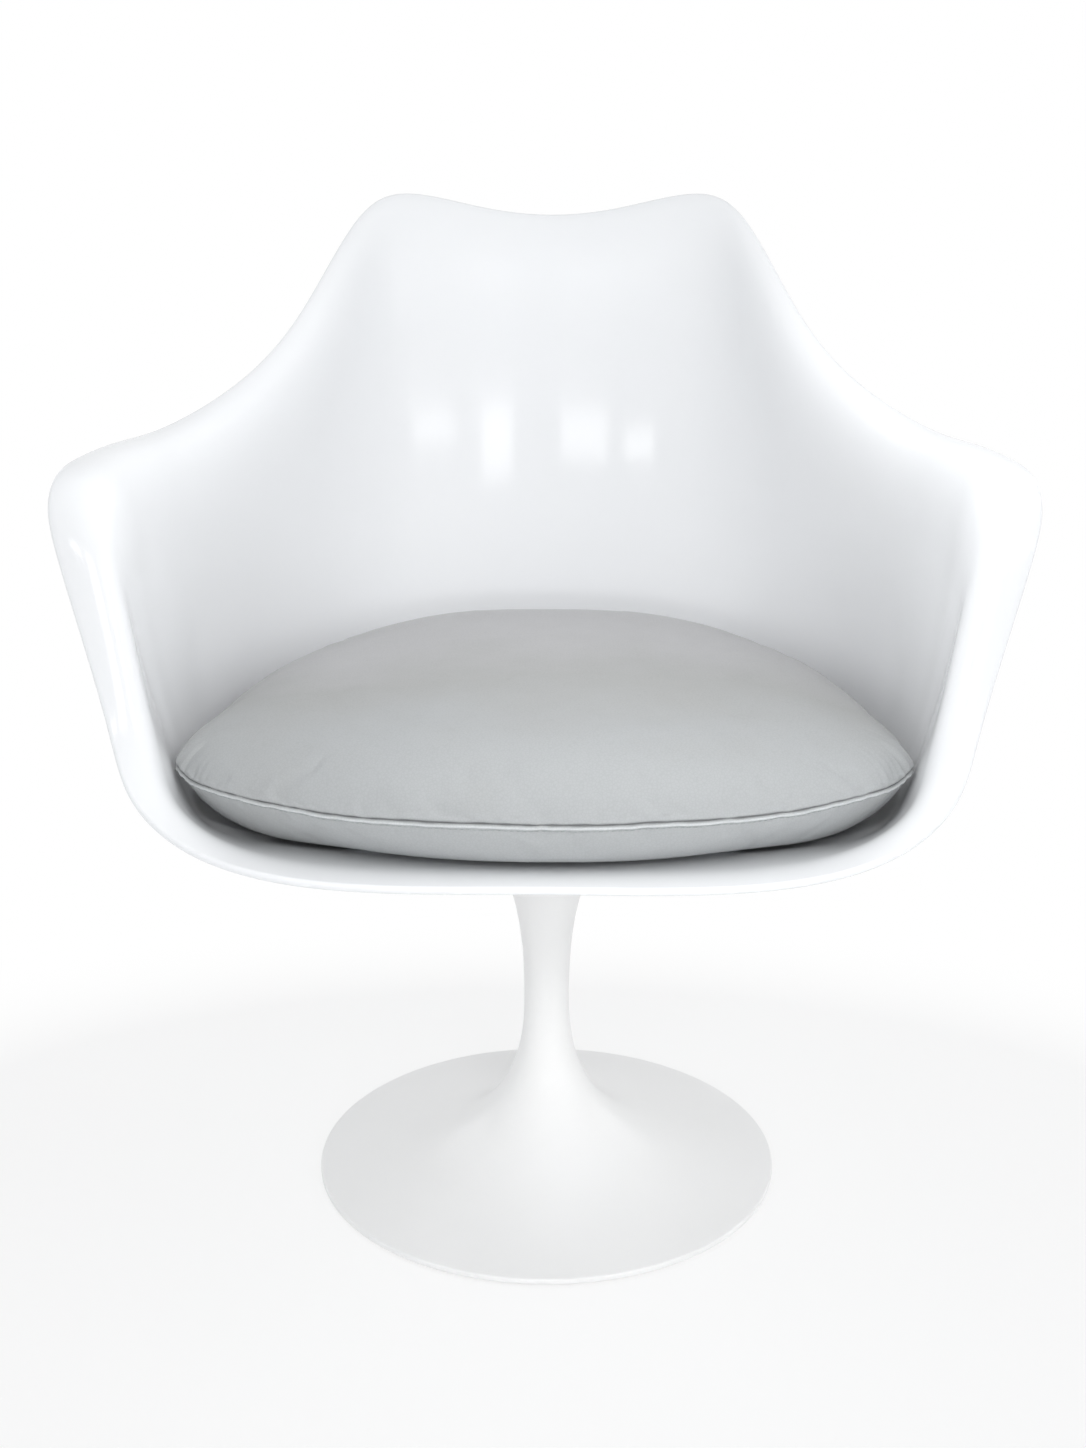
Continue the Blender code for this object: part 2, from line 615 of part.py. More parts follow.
def spline_weights(count, place):
    """Weights of a clamped cubic spline's control points at a place from 0 to count - 3."""
    spans = count - 3
    knots = [0.0] * 3 + [float(i) for i in range(spans + 1)] + [float(spans)] * 3
    span = min(int(place), spans - 1) + 3
    weights = np.zeros(len(knots) - 1)
    weights[span] = 1.0
    for degree in range(1, 4):
        raised = np.zeros(len(knots) - 1 - degree)
        for i in range(len(raised)):
            left = knots[i + degree] - knots[i]
            right = knots[i + degree + 1] - knots[i + 1]
            if left > 0:
                raised[i] += (place - knots[i]) / left * weights[i]
            if right > 0:
                raised[i] += (knots[i + degree + 1] - place) / right * weights[i + 1]
        weights = raised
    return weights


def foot_point(turn):
    """A point of the wall's foot in plan: a rounded outline, squarer at the front than at the back."""
    angle = turn * math.pi / 2
    power = 2 / (FOOT_FRONT_POWER if turn < 0 else FOOT_BACK_POWER)
    reach = FOOT_FRONT - FOOT_MIDDLE if turn < 0 else FOOT_BACK + FOOT_MIDDLE
    x = FOOT_HALF_WIDTH * math.cos(angle) ** power if abs(turn) < 1 else 0.0
    y = math.copysign(abs(math.sin(angle)) ** power, turn) * reach - FOOT_MIDDLE
    rise = FOOT_RISE + (FRONT_FOOT_RISE - FOOT_RISE) * max(-math.sin(angle), 0.0)
    return np.array([x, y, PAN_HEIGHT + rise])


def rim_points():
    """The rim's stations in metres."""
    rise = BACK_HEIGHT - SEAT_EDGE_HEIGHT
    points = []
    for x, y, z in RIM_SHARES:
        reach = SHELL_FRONT if y < 0 else SHELL_BACK
        points.append((x * SHELL_HALF_WIDTH, y * reach, SEAT_EDGE_HEIGHT + z * rise))
    return np.array(points)


class ShellSurface:
    """The sitter's side of the shell, lofted from the flat of the pan over the foot and the wall to the rim."""

    def __init__(self):
        rim = rim_points()
        lip = rim + np.array(LIP_SHARES) * LIP_WIDTH
        foot = np.array([foot_point(turn) for turn in FOOT_TURN_SHARES])
        away = foot * (1.0, 1.0, 0.0)
        away /= np.linalg.norm(away, axis=1)[:, None]
        flat = away * PAN_FLAT_RADIUS + (0.0, 0.0, PAN_HEIGHT)
        floor = flat + (foot - flat) * (1.0, 1.0, 0.0) * FLOOR_MIDDLE_SHARE
        backwards = np.maximum(away[:, 1:2], 0.0) ** 2
        bulge = away * ((WALL_BULGE_SHARE + BACK_BULGE_SHARE * backwards) * (lip - foot)[:, 2:])
        low = foot + (lip - foot) * WALL_LOW_SHARE + bulge
        high = foot + (lip - foot) * WALL_HIGH_SHARE + bulge
        knots = closed_knots(rim)
        self.rails = [ClosedCurve(rail, knots) for rail in (flat, floor, foot, low, high, lip, rim)]
        self.spans = len(self.rails) - 3

    def at(self, station, across):
        """The point at a station round the shell and a place across it, from 0 on the flat to spans at the rim."""
        weights = spline_weights(len(self.rails), across)
        return sum(weight * rail.at(station) for weight, rail in zip(weights, self.rails))

    def normal(self, station, across):
        """The unit normal there, towards the sitter."""
        step = NORMAL_STEP
        along = self.at(station + step, across) - self.at(station - step, across)
        outward = self.at(station, across + step) - self.at(station, max(across - step, 0.0))
        normal = np.cross(outward, along)
        return normal / np.linalg.norm(normal)


def shell_mesh(surface):
    """Half of the shell's inner surface, open at the plane of symmetry."""
    columns = (len(RIM_SHARES) - 1) * COLUMNS_PER_STATION + 1
    places = [0.0]
    for span, rows in enumerate(ROWS_PER_SPAN):
        places += [span + (i + 1) / rows for i in range(rows)]
    shape = bmesh.new()
    grid = []
    for column in range(columns):
        line = []
        for place in places:
            point = surface.at(column / COLUMNS_PER_STATION, place)
            if column in (0, columns - 1):
                point[0] = 0.0
            line.append(shape.verts.new(point))
        grid.append(line)
    for line, following in zip(grid, grid[1:]):
        for i in range(len(places) - 1):
            shape.faces.new((line[i], line[i + 1], following[i + 1], following[i]))
    shape.faces.new([line[0] for line in grid])
    bmesh.ops.recalc_face_normals(shape, faces=shape.faces)
    if shape.faces[-1].normal.z < 0:
        bmesh.ops.reverse_faces(shape, faces=shape.faces)
    mesh = bpy.data.meshes.new("seat_shell")
    shape.to_mesh(mesh)
    shape.free()
    mesh.shade_smooth()
    return mesh


def neck_profile():
    """The thick neck moulded under the shell: it carries on the stem's flare, and its skirt hides the hub."""
    top = PAN_HEIGHT - SHELL_THICKNESS / 2
    skirt_inner = HUB_RADIUS + TOUCH_GAP
    return [
        (0.0, top),
        (FLARE_END_RADIUS, top),
        *flare(SHELL_UNDERSIDE, NECK_BOTTOM, NECK_POINTS),
        (skirt_inner, NECK_BOTTOM),
        (skirt_inner, NECK_FACE_HEIGHT),
        (0.0, NECK_FACE_HEIGHT),
    ]


def make_shell(surface, materials):
    """The moulded shell with its neck and the holes for the threaded inserts."""
    shell = add_object("seat_shell", shell_mesh(surface), materials["shell"])
    mirror = shell.modifiers.new("mirror", "MIRROR")
    mirror.merge_threshold = MERGE_DISTANCE
    thicken = shell.modifiers.new("thickness", "SOLIDIFY")
    thicken.thickness = SHELL_THICKNESS
    thicken.offset = -1.0
    thicken.use_even_offset = True
    edge = shell.modifiers.new("edge", "BEVEL")
    edge.width = SHELL_EDGE_ROUND
    edge.segments = EDGE_SEGMENTS
    edge.limit_method = "ANGLE"
    edge.angle_limit = EDGE_ANGLE
    neck = turned_mesh_object("shell_neck", neck_profile(), LARGE_STEPS, collection=CUTTERS)
    boolean(shell, neck, "UNION")
    flange_top = NECK_FACE_HEIGHT + INSERT_FLANGE_THICKNESS + TOUCH_GAP
    hole = [
        (0.0, NECK_FACE_HEIGHT + INSERT_LENGTH + TOUCH_GAP),
        (INSERT_RADIUS + TOUCH_GAP, NECK_FACE_HEIGHT + INSERT_LENGTH + TOUCH_GAP),
        (INSERT_RADIUS + TOUCH_GAP, flange_top),
        (INSERT_FLANGE_RADIUS + TOUCH_GAP, flange_top),
        (INSERT_FLANGE_RADIUS + TOUCH_GAP, NECK_FACE_HEIGHT - OVERRUN),
        (0.0, NECK_FACE_HEIGHT - OVERRUN),
    ]
    for number, (x, y) in enumerate(screw_places(), 1):
        cutter = turned_mesh_object(f"insert_hole_{number}", hole, SMALL_STEPS, collection=CUTTERS)
        cutter.location = (x, y, 0.0)
        boolean(shell, cutter, "DIFFERENCE")
    return shell


def turn_in_plan(point):
    """The direction of a point from the cushion's middle, in plan."""
    return math.atan2(point[1] + CUSHION_MIDDLE, point[0])


def halved(too_low, low, high):
    """The place between low and high where a rising test turns."""
    for _ in range(HALVINGS):
        middle = (low + high) / 2
        if too_low(middle):
            low = middle
        else:
            high = middle
    return (low + high) / 2


def station_facing(surface, turn, across):
    """The station of the shell that lies in a direction from the cushion's middle, at a place across the shell."""
    last = len(RIM_SHARES) - 1
    return halved(lambda station: turn_in_plan(surface.at(station, across)) < turn, 0.0, float(last))


def pan_place(surface, x, y):
    """The station and the place across the shell of a point of the pan."""
    turn = turn_in_plan((x, y))
    reach = math.hypot(x, y + CUSHION_MIDDLE)

    def inside(across):
        point = surface.at(station_facing(surface, turn, across), across)
        return math.hypot(point[0], point[1] + CUSHION_MIDDLE) < reach

    across = halved(inside, 0.0, float(surface.spans))
    return station_facing(surface, turn, across), across


def make_disc(name, shell, place, facing, lift, thickness, material):
    """A thin flexible disc that lies along the pan, with its underside a lift above it."""
    mesh = bpy.data.meshes.new(name)
    shape = bmesh.new()
    bmesh.ops.create_circle(shape, cap_ends=True, cap_tris=True, segments=DISC_STEPS, radius=DISC_RADIUS)
    shape.to_mesh(mesh)
    shape.free()
    disc = add_object(name, mesh, material)
    disc.location = place + facing * DISC_RADIUS
    disc.rotation_euler = facing.to_track_quat("Z", "Y").to_euler()
    lay = disc.modifiers.new("lay_on_pan", "SHRINKWRAP")
    lay.target = shell
    lay.wrap_method = "PROJECT"
    lay.use_project_z = True
    lay.use_negative_direction = True
    lay.use_positive_direction = False
    lay.offset = lift
    thicken = disc.modifiers.new("thickness", "SOLIDIFY")
    thicken.thickness = thickness
    thicken.offset = 1.0


def make_discs(surface, shell, materials):
    """Hook discs stuck to the pan, and the loop discs of the cushion that lie on them."""
    loop_lift = TOUCH_GAP + HOOK_DISC_THICKNESS + TOUCH_GAP
    for end, offset, y in (
        ("front", FRONT_DISC_OFFSET, -FRONT_DISC_FORWARD),
        ("back", BACK_DISC_OFFSET, BACK_DISC_BACKWARD),
    ):
        place = pan_place(surface, offset, y)
        point = surface.at(*place)
        normal = surface.normal(*place)
        for side, sign in (("right", 1.0), ("left", -1.0)):
            middle = Vector((sign * point[0], point[1], point[2]))
            facing = Vector((sign * normal[0], normal[1], normal[2]))
            make_disc(
                f"hook_disc_{end}_{side}", shell, middle, facing,
                TOUCH_GAP, HOOK_DISC_THICKNESS, materials["disc"],
            )
            make_disc(
                f"loop_disc_{end}_{side}", shell, middle, facing,
                loop_lift, LOOP_DISC_THICKNESS, materials["disc"],
            )


class CushionShape:
    """The cushion's surfaces as rings of points, at any depth under the leather's outside."""

    def __init__(self, surface):
        self.surface = surface
        seam = np.array(SEAM_SHARES)
        reach = np.where(seam[:, 1] < 0, CUSHION_FRONT, CUSHION_BACK)
        rows = np.column_stack([seam[:, 0] * CUSHION_HALF_WIDTH, seam[:, 1] * reach, seam[:, 2]])
        curve = ClosedCurve(rows, closed_knots(rows[:, :2]))
        columns = (len(SEAM_SHARES) - 1) * SEAM_COLUMNS_PER_STATION + 1
        stations = [curve.at(column / SEAM_COLUMNS_PER_STATION) for column in range(columns)]
        self.outline = [station[:2] for station in stations]
        self.under_reach = [station[2] for station in stations]
        self.middle = np.array([0.0, -CUSHION_MIDDLE])

    def seam_points(self, depth):
        """The seam's outline in plan, drawn in by a depth."""
        drawn = []
        for point in self.outline:
            ray = point - self.middle
            drawn.append(self.middle + ray * (1 - depth / np.linalg.norm(ray)))
        return drawn

    def crown_power(self, point):
        """How square the crown's section is towards a seam point: less at the sides than at front and back."""
        ray = point - self.middle
        share = (abs(ray[0]) / np.linalg.norm(ray) - SIDE_START_SHARE) / (SIDE_END_SHARE - SIDE_START_SHARE)
        share = min(max(share, 0.0), 1.0)
        return CROWN_POWER + (SIDE_CROWN_POWER - CROWN_POWER) * share * share * (3 - 2 * share)

    def top_rings(self, depth):
        """Rings from the seam up to the crown."""
        rings = []
        for share in CROWN_TURN_SHARES:
            turn = share * math.pi / 2
            ring = []
            for point in self.seam_points(depth):
                power = self.crown_power(point)
                place = self.middle + (point - self.middle) * math.cos(turn) ** (2 / power)
                rise = math.sin(turn) ** (2 / power) * (CUSHION_CROWN - depth)
                ring.append((*place, SEAM_HEIGHT + SEAM_GAP / 2 + rise))
            rings.append(ring)
        return rings

    def pan_point(self, turn, across, depth):
        """A point above the pan, clear of it by the stack of discs."""
        station = station_facing(self.surface, turn, across)
        point = self.surface.at(station, across)
        return point + self.surface.normal(station, across) * (DISC_STACK + depth)

    def under_rings(self, depth):
        """Rings from the seam down the drawn-in side, and then along the pan to its flat."""
        columns = []
        for point, under_reach in zip(self.seam_points(depth), self.under_reach):
            turn = turn_in_plan(point)
            goal = under_reach * np.linalg.norm(point - self.middle)
            across = halved(
                lambda place: np.linalg.norm(self.pan_point(turn, place, depth)[:2] - self.middle) < goal,
                0.0, WALL_PLACE,
            )
            low = self.pan_point(turn, across, depth)
            seam_point = np.array([*point, SEAM_HEIGHT - SEAM_GAP / 2])
            corner = np.array([*(point * UNDER_FULLNESS_SHARE + low[:2] * (1 - UNDER_FULLNESS_SHARE)), low[2]])
            column = []
            for t in UNDER_CURVE_SHARES:
                column.append((1 - t) ** 2 * seam_point + 2 * t * (1 - t) * corner + t ** 2 * low)
            for share in reversed(UNDER_PLACE_SHARES):
                column.append(self.pan_point(turn, share * across, depth))
            columns.append(column)
        return [[column[i] for column in columns] for i in range(len(columns[0]))]


def ringed_mesh(name, rings):
    """Half of a closed surface through rings of points, capped at both ends and open at the plane of symmetry."""
    shape = bmesh.new()
    grid = []
    for ring in rings:
        line = []
        for i, (x, y, z) in enumerate(ring):
            on_plane = i in (0, len(ring) - 1)
            line.append(shape.verts.new((0.0 if on_plane else x, y, z)))
        grid.append(line)
    for line, following in zip(grid, grid[1:]):
        for i in range(len(line) - 1):
            shape.faces.new((line[i], line[i + 1], following[i + 1], following[i]))
    shape.faces.new(grid[0])
    shape.faces.new(reversed(grid[-1]))
    bmesh.ops.recalc_face_normals(shape, faces=shape.faces)
    mesh = bpy.data.meshes.new(name)
    shape.to_mesh(mesh)
    shape.free()
    mesh.shade_smooth()
    return mesh


def make_cushion(surface, materials):
    """The cushion's sewn panels, each open at the seam, and the foam core inside them."""
    shape = CushionShape(surface)
    core_depth = LEATHER_THICKNESS + CORE_GAP
    top = [*reversed(shape.top_rings(0.0)), *shape.top_rings(LEATHER_THICKNESS)]
    under = [*reversed(shape.under_rings(0.0)), *shape.under_rings(LEATHER_THICKNESS)]
    core = [*reversed(shape.top_rings(core_depth)), *shape.under_rings(core_depth)]
    for name, rings, material in (
        ("cushion_top_panel", top, "leather"),
        ("cushion_under_panel", under, "leather"),
        ("cushion_foam_core", core, "foam"),
    ):
        obj = add_object(name, ringed_mesh(name, rings), materials[material])
        mirror = obj.modifiers.new("mirror", "MIRROR")
        mirror.merge_threshold = MERGE_DISTANCE


def main():
    clear_scene()
    materials = make_materials()
    make_base(materials)
    make_spindle(materials)
    make_hub(materials)
    make_hub_screws(materials)
    surface = ShellSurface()
    shell = make_shell(surface, materials)
    make_discs(surface, shell, materials)
    make_cushion(surface, materials)


main()
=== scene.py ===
"""The looks of the pedestal armchair: a glossy shell on an enamelled pedestal, with a leather cushion."""

import json
import math

import bmesh
import bpy
import numpy as np
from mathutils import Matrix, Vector
from mathutils.bvhtree import BVHTree


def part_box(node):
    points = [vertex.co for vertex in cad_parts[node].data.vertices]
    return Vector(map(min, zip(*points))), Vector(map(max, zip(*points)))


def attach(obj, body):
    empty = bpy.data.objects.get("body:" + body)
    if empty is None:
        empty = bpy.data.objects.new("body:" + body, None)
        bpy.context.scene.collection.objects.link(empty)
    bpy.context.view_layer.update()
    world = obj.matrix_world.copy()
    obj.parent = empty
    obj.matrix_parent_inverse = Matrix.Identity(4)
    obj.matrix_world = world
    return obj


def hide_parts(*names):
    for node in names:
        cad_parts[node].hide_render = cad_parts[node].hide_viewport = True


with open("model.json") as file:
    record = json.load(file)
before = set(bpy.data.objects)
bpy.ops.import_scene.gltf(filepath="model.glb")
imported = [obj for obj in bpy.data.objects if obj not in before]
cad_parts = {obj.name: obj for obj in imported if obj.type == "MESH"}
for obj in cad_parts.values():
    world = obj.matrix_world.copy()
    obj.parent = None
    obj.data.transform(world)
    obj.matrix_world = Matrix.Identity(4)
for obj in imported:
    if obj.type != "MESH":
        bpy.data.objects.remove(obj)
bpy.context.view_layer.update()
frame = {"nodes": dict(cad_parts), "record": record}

# The photograph's frame in pixels, and the camera that was solved from it
PHOTO_WIDTH = 1086
PHOTO_HEIGHT = 1448
FOCAL_PIXELS = 1934
SENSOR_LENGTH_MM = 36.0
SWIVEL_AXIS_PIXEL = 547.0
CAMERA_DISTANCE = 1.526
CAMERA_HEIGHT = 0.883
CAMERA_PITCH = 0.304
CAMERA_TURN = math.radians(0.85)

# Gap between pieces that touch
TOUCH_GAP = 0.0003

# Pedestal
BASE_RADIUS = 0.199
BASE_CLEARANCE = 0.0015
BASE_EDGE_HEIGHT = 0.0065
BASE_EDGE_ROUND = 0.0015
BASE_SWEEP_HEIGHT = 0.010
WAIST_RADIUS = 0.0194
WAIST_HEIGHT = 0.153
FLARE_START_HEIGHT = 0.166
STEM_TOP_HEIGHT = 0.312
STEM_TOP_ROUND = 0.0008
FLARE_END_RADIUS = 0.140
HOLLOW_RADIUS = 0.178
HOLLOW_SWEEP_HEIGHT = 0.0045
HOLLOW_TOP_HEIGHT = 0.132
HOLLOW_BORE_RADIUS = 0.0152
GLIDE_MEAN_RADIUS = 0.190
GLIDE_WIDTH = 0.008
GLIDE_GROOVE_DEPTH = 0.0015
BUSH_POCKET_RADIUS = 0.0133
STEM_BORE_RADIUS = 0.0115
LOWER_BUSH_BOTTOM = 0.148
LOWER_BUSH_TOP = 0.172
UPPER_BUSH_BOTTOM = 0.288
TURNED_STEPS = 224
SWEEP_POINTS = 60
FLARE_POINTS = 40
HOLLOW_POINTS = 24
ROUND_POINTS = 6

# Moulded shell
SHELL_HALF_WIDTH = 0.350
SHELL_FRONT = 0.297
SHELL_BACK = 0.292
SHELL_THICKNESS = 0.006
SHELL_EDGE_ROUND = 0.0028
PAN_HEIGHT = 0.352
SEAT_EDGE_HEIGHT = 0.3795
BACK_HEIGHT = 0.8175
PAN_FLAT_RADIUS = 0.145
LIP_WIDTH = 0.050
FOOT_HALF_WIDTH = 0.277
FOOT_RISE = 0.012
FRONT_FOOT_RISE = 0.020
FOOT_FRONT = 0.205
FOOT_BACK = 0.214
FOOT_MIDDLE = 0.030
FOOT_FRONT_POWER = 3.4
FOOT_BACK_POWER = 2.2
COLUMNS_PER_STATION = 12
ROWS_PER_SPAN = (9, 12, 14, 20)
EDGE_ROUND_POINTS = 8
SHELL_UNDERSIDE = PAN_HEIGHT - SHELL_THICKNESS
NECK_BOTTOM = 0.313
NECK_FACE_HEIGHT = 0.3249
NECK_EDGE_ROUND = 0.0006
NECK_POINTS = 30
HUB_RADIUS = 0.052
PAN_RING_SHARES = (0.75, 0.5, 0.25)
INSERT_CIRCLE_RADIUS = 0.036
INSERT_RADIUS = 0.0052
INSERT_LENGTH = 0.013
INSERT_FLANGE_RADIUS = 0.0070
INSERT_FLANGE_THICKNESS = 0.0012
INSERT_COUNT = 4

# Where meshes break their smooth shading, a length that counts as none, and the steps round a drilled hole
PEDESTAL_SHARP_ANGLE = math.radians(40)
SHELL_SHARP_ANGLE = math.radians(45)
TINY_LENGTH = 0.000001
HOLE_STEPS = 32

# The rim of half of the shell, from the middle of the seat front round the arm to the middle of the back.
# Each row has shares of the half width, of the front or back reach, and of the rise from seat edge to
# shoulder.
RIM_SHARES = (
    (0.000, -1.000, 0.000),
    (0.374, -0.988, 0.000),
    (0.674, -0.882, 0.018),
    (0.838, -0.772, 0.086),
    (0.896, -0.705, 0.205),
    (0.981, -0.650, 0.462),
    (1.000, -0.625, 0.552),
    (0.993, -0.579, 0.593),
    (0.973, -0.460, 0.611),
    (0.924, -0.270, 0.618),
    (0.863, -0.088, 0.622),
    (0.722, 0.247, 0.682),
    (0.607, 0.514, 0.790),
    (0.508, 0.765, 0.934),
    (0.400, 0.905, 1.002),
    (0.193, 0.978, 0.977),
    (0.000, 1.000, 0.959),
)

# Where the lip starts to roll out, from the rim point of the same row, in shares of the lip width
LIP_SHARES = (
    (0.00, 0.40, 0.02),
    (-0.04, 0.40, 0.02),
    (-0.26, 0.34, 0.03),
    (-0.48, 0.10, 0.06),
    (-0.62, -0.06, 0.07),
    (-0.90, -0.15, 0.03),
    (-0.98, -0.14, 0.08),
    (-1.00, -0.05, 0.14),
    (-0.94, 0.00, 0.16),
    (-0.84, -0.12, 0.12),
    (-0.72, -0.24, 0.06),
    (-0.54, -0.28, -0.14),
    (-0.44, -0.28, -0.22),
    (-0.32, -0.32, -0.26),
    (-0.14, -0.38, -0.34),
    (-0.03, -0.40, -0.32),
    (0.00, -0.40, -0.32),
)

# The foot of the wall under each of those rim points, as turns round the pan from front (-1) to back (1)
FOOT_TURN_SHARES = (
    -1.00, -0.80, -0.53, -0.38, -0.29, -0.18, -0.11, -0.07, -0.02,
    0.06, 0.15, 0.33, 0.50, 0.63, 0.74, 0.87, 1.00,
)
FLOOR_MIDDLE_SHARE = 0.5
WALL_LOW_SHARE = 0.28
WALL_HIGH_SHARE = 0.70
WALL_BULGE_SHARE = 0.035
BACK_BULGE_SHARE = 0.045

# Hook-and-loop discs
DISC_RADIUS = 0.022
HOOK_DISC_THICKNESS = 0.002
LOOP_DISC_THICKNESS = 0.0016
DISC_STACK = 0.0051
DISC_SEGMENTS = 64
DISC_RINGS = 8
DISC_EDGE_ROUND = 0.0006
DISC_ROUND_POINTS = 3

# Cushion
SEAM_HEIGHT = 0.418
CUSHION_HALF_WIDTH = 0.270
CUSHION_FRONT = 0.277
CUSHION_BACK = 0.212
CUSHION_MIDDLE = 0.040
CUSHION_CROWN = 0.051
CROWN_POWER = 3.0
CORNER_POWER_FALL = 0.9
UNDER_FULLNESS_SHARE = 0.68
CUSHION_COLUMNS = 768
SECTION_SAMPLES = 400
UNDER_STEPS = 40
SIDE_START = 0.35
SIDE_END = 0.9

# The seam of half of the cushion in plan, in shares of its half width and of its front or back reach.
# The third share is how far out from the cushion's middle its underside lies on the pan.
SEAM_SHARES = (
    (0.000, -1.000, 0.92),
    (0.460, -0.952, 0.85),
    (0.810, -0.800, 0.76),
    (1.000, -0.600, 0.71),
    (1.005, -0.340, 0.76),
    (0.957, -0.020, 0.84),
    (0.800, 0.500, 0.88),
    (0.460, 0.895, 0.90),
    (0.000, 1.010, 0.90),
)

# How many stations those rows make all round, and which of them is the front corner
SEAM_STATIONS = 2 * (len(SEAM_SHARES) - 1)
CORNER_STATION = 3

# Seam details, by their distance from the seam line along the leather
GROOVE_DEPTH = 0.0014
GROOVE_WIDTH = 0.0010
RIDGE_HEIGHT = 0.0013
RIDGE_PLACE = 0.0023
RIDGE_WIDTH = 0.0011
# A painted highlight on the ridge under the seam, as a share of the seam's painted shade turned into
# lightening
RIDGE_PAINTED_HIGHLIGHT = 0.7
# Painted shade along the seam groove: its width, and the share of the leather's tone left at its middle
SEAM_PAINTED_SHADE_WIDTH = 0.0009
SEAM_PAINTED_SHADE = 0.34
STITCH_PLACE = 0.0048
STITCH_PITCH = 0.0044
STITCH_LENGTH = 0.0030
STITCH_RADIUS = 0.00035
STITCH_LIFT_SHARE = 0.4
STITCH_SIDES = 6
STITCH_FURROW = 0.0004
STITCH_FURROW_WIDTH = 0.0008
STITCH_FURROW_WAVE_SHARE = 0.4

# Places along a stitch in shares of its length, each with the share of its radius there
STITCH_SHARES = ((-0.5, 0.0), (-0.42, 0.7), (-0.2, 1.0), (0.2, 1.0), (0.42, 0.7), (0.5, 0.0))

# The wavering of the seam and the puckers beside it, as waves with a length, a phase and a weight
SEAM_WAVES = ((0.071, 0.4, 0.0002), (0.043, 2.1, 0.0001), (0.153, 4.0, 0.0004))
PUCKER_WAVES = ((0.0071, 0.3, 1.0), (0.0097, 1.7, 0.8), (0.0163, 3.1, 0.5))
PUCKER_START = 0.004
PUCKER_LENGTH = 0.012
PUCKER_REACH = 0.045
TOP_PUCKER_HEIGHT = 0.00085
UNDER_PUCKER_HEIGHT = 0.0005
RIPPLE_HEIGHT = 0.00007
RIPPLE_LENGTH = 0.008

# The upturned ears of the front corners, and how much fuller the top is behind them
EAR_REACH = 0.013
EAR_OUT = 0.0035
EAR_UP = 0.0055
EAR_DEPTH = 0.016
CORNER_FULLNESS = 0.0045
CORNER_REACH = 0.055
CORNER_RISE = 0.022
CORNER_FALL = 0.070

# Ring distances from the seam on each panel, up to where even rings take over, and the shares of the way
# left to the middle under which a ring has half, a quarter and an eighth of its points
SEAM_RINGS = (
    0.0, 0.0004, 0.0008, 0.0012, 0.0017, 0.0022, 0.0028, 0.0034, 0.0041, 0.0048, 0.0055, 0.0064,
    0.0075, 0.009, 0.011, 0.0135, 0.0165, 0.020, 0.024, 0.029, 0.035, 0.042,
)
EVEN_RINGS = 22
HALVED_AT_SHARES = (0.45, 0.22, 0.11)

# The simulated leather: the rings and columns that it uses, how far from the seam it is held again, and how
# far it may move. A negative shrink cuts it a little too large. The minimum has to be set first.
CLOTH_RINGS = (0, 6, 9, 12, 14, 16, 18, 20, 22, 24, 26, 28, 30, 32, 34)
CLOTH_COLUMN_STEP = 3
CLOTH_FRAMES = 20
TOP_HELD = (0.09, 0.15)
UNDER_HELD = (0.030, 0.045)
CLOTH_REACH = 0.0035
CLOTH_SETTINGS = {
    "quality": 6,
    "mass": 0.3,
    "tension_stiffness": 25,
    "compression_stiffness": 25,
    "shear_stiffness": 10,
    "bending_stiffness": 0.6,
    "vertex_group_mass": "held",
    "shrink_min": -0.004,
    "shrink_max": -0.004,
    "use_pressure": True,
    "uniform_pressure_force": 4.0,
}

# High gloss white gelcoat, whose gloss dulls between two heights near the top of the backrest. Its
# roughness stays under 0.27 and the enamel's over it, because the denoiser treats the two unlike.
GELCOAT_TONES = ((0.35, (0.875, 0.884, 0.898)), (0.70, (0.889, 0.897, 0.909)))
GELCOAT_ROUGHNESS = (0.08, 0.12)
DULL_RIM_HEIGHTS = (0.58, 0.75)
DULL_RIM_ROUGHNESS = 0.14

# Enamel on the cast pedestal
ENAMEL_TONES = ((0.35, (0.875, 0.872, 0.866)), (0.70, (0.895, 0.892, 0.887)))
ENAMEL_ROUGHNESS = (0.28, 0.36)

# Leather and thread: the leather's tones by shares of the way back, which hold painted light and shade
# (darkest over the middle, lighter at the front, lightest and greyest at the back), and the span along Y of
# that way
LEATHER_PAINTED_LIGHT_TONES = (
    (0.10, (0.444, 0.458, 0.464)), (0.95, (0.480, 0.478, 0.482)), (0.55, (0.408, 0.412, 0.406)),
)
LEATHER_PAINTED_LIGHT_SPAN = (-0.26, 0.05)
LEATHER_MOTTLE_SHARE = 0.7
LEATHER_ROUGHNESS = (0.46, 0.60)
CREASE_WIDTH = 0.16
CREASE_SHADE = 0.93
THREAD_TONES = ((0.3, (0.30, 0.33, 0.33)), (0.7, (0.42, 0.45, 0.45)))
THREAD_ROUGHNESS = (0.62, 0.78)

# Fastener tapes by slot, each with its colour, the pitch of its tufts and their height
TAPES = {
    "hook_tape": ((0.70, 0.73, 0.80), 0.0011, 0.0004),
    "loop_tape": ((0.66, 0.69, 0.74), 0.0008, 0.0003),
}
TAPE_SHADE = 0.7
TAPE_RANDOMNESS = 0.6
TAPE_ROUGHNESS = (0.48, 0.72)

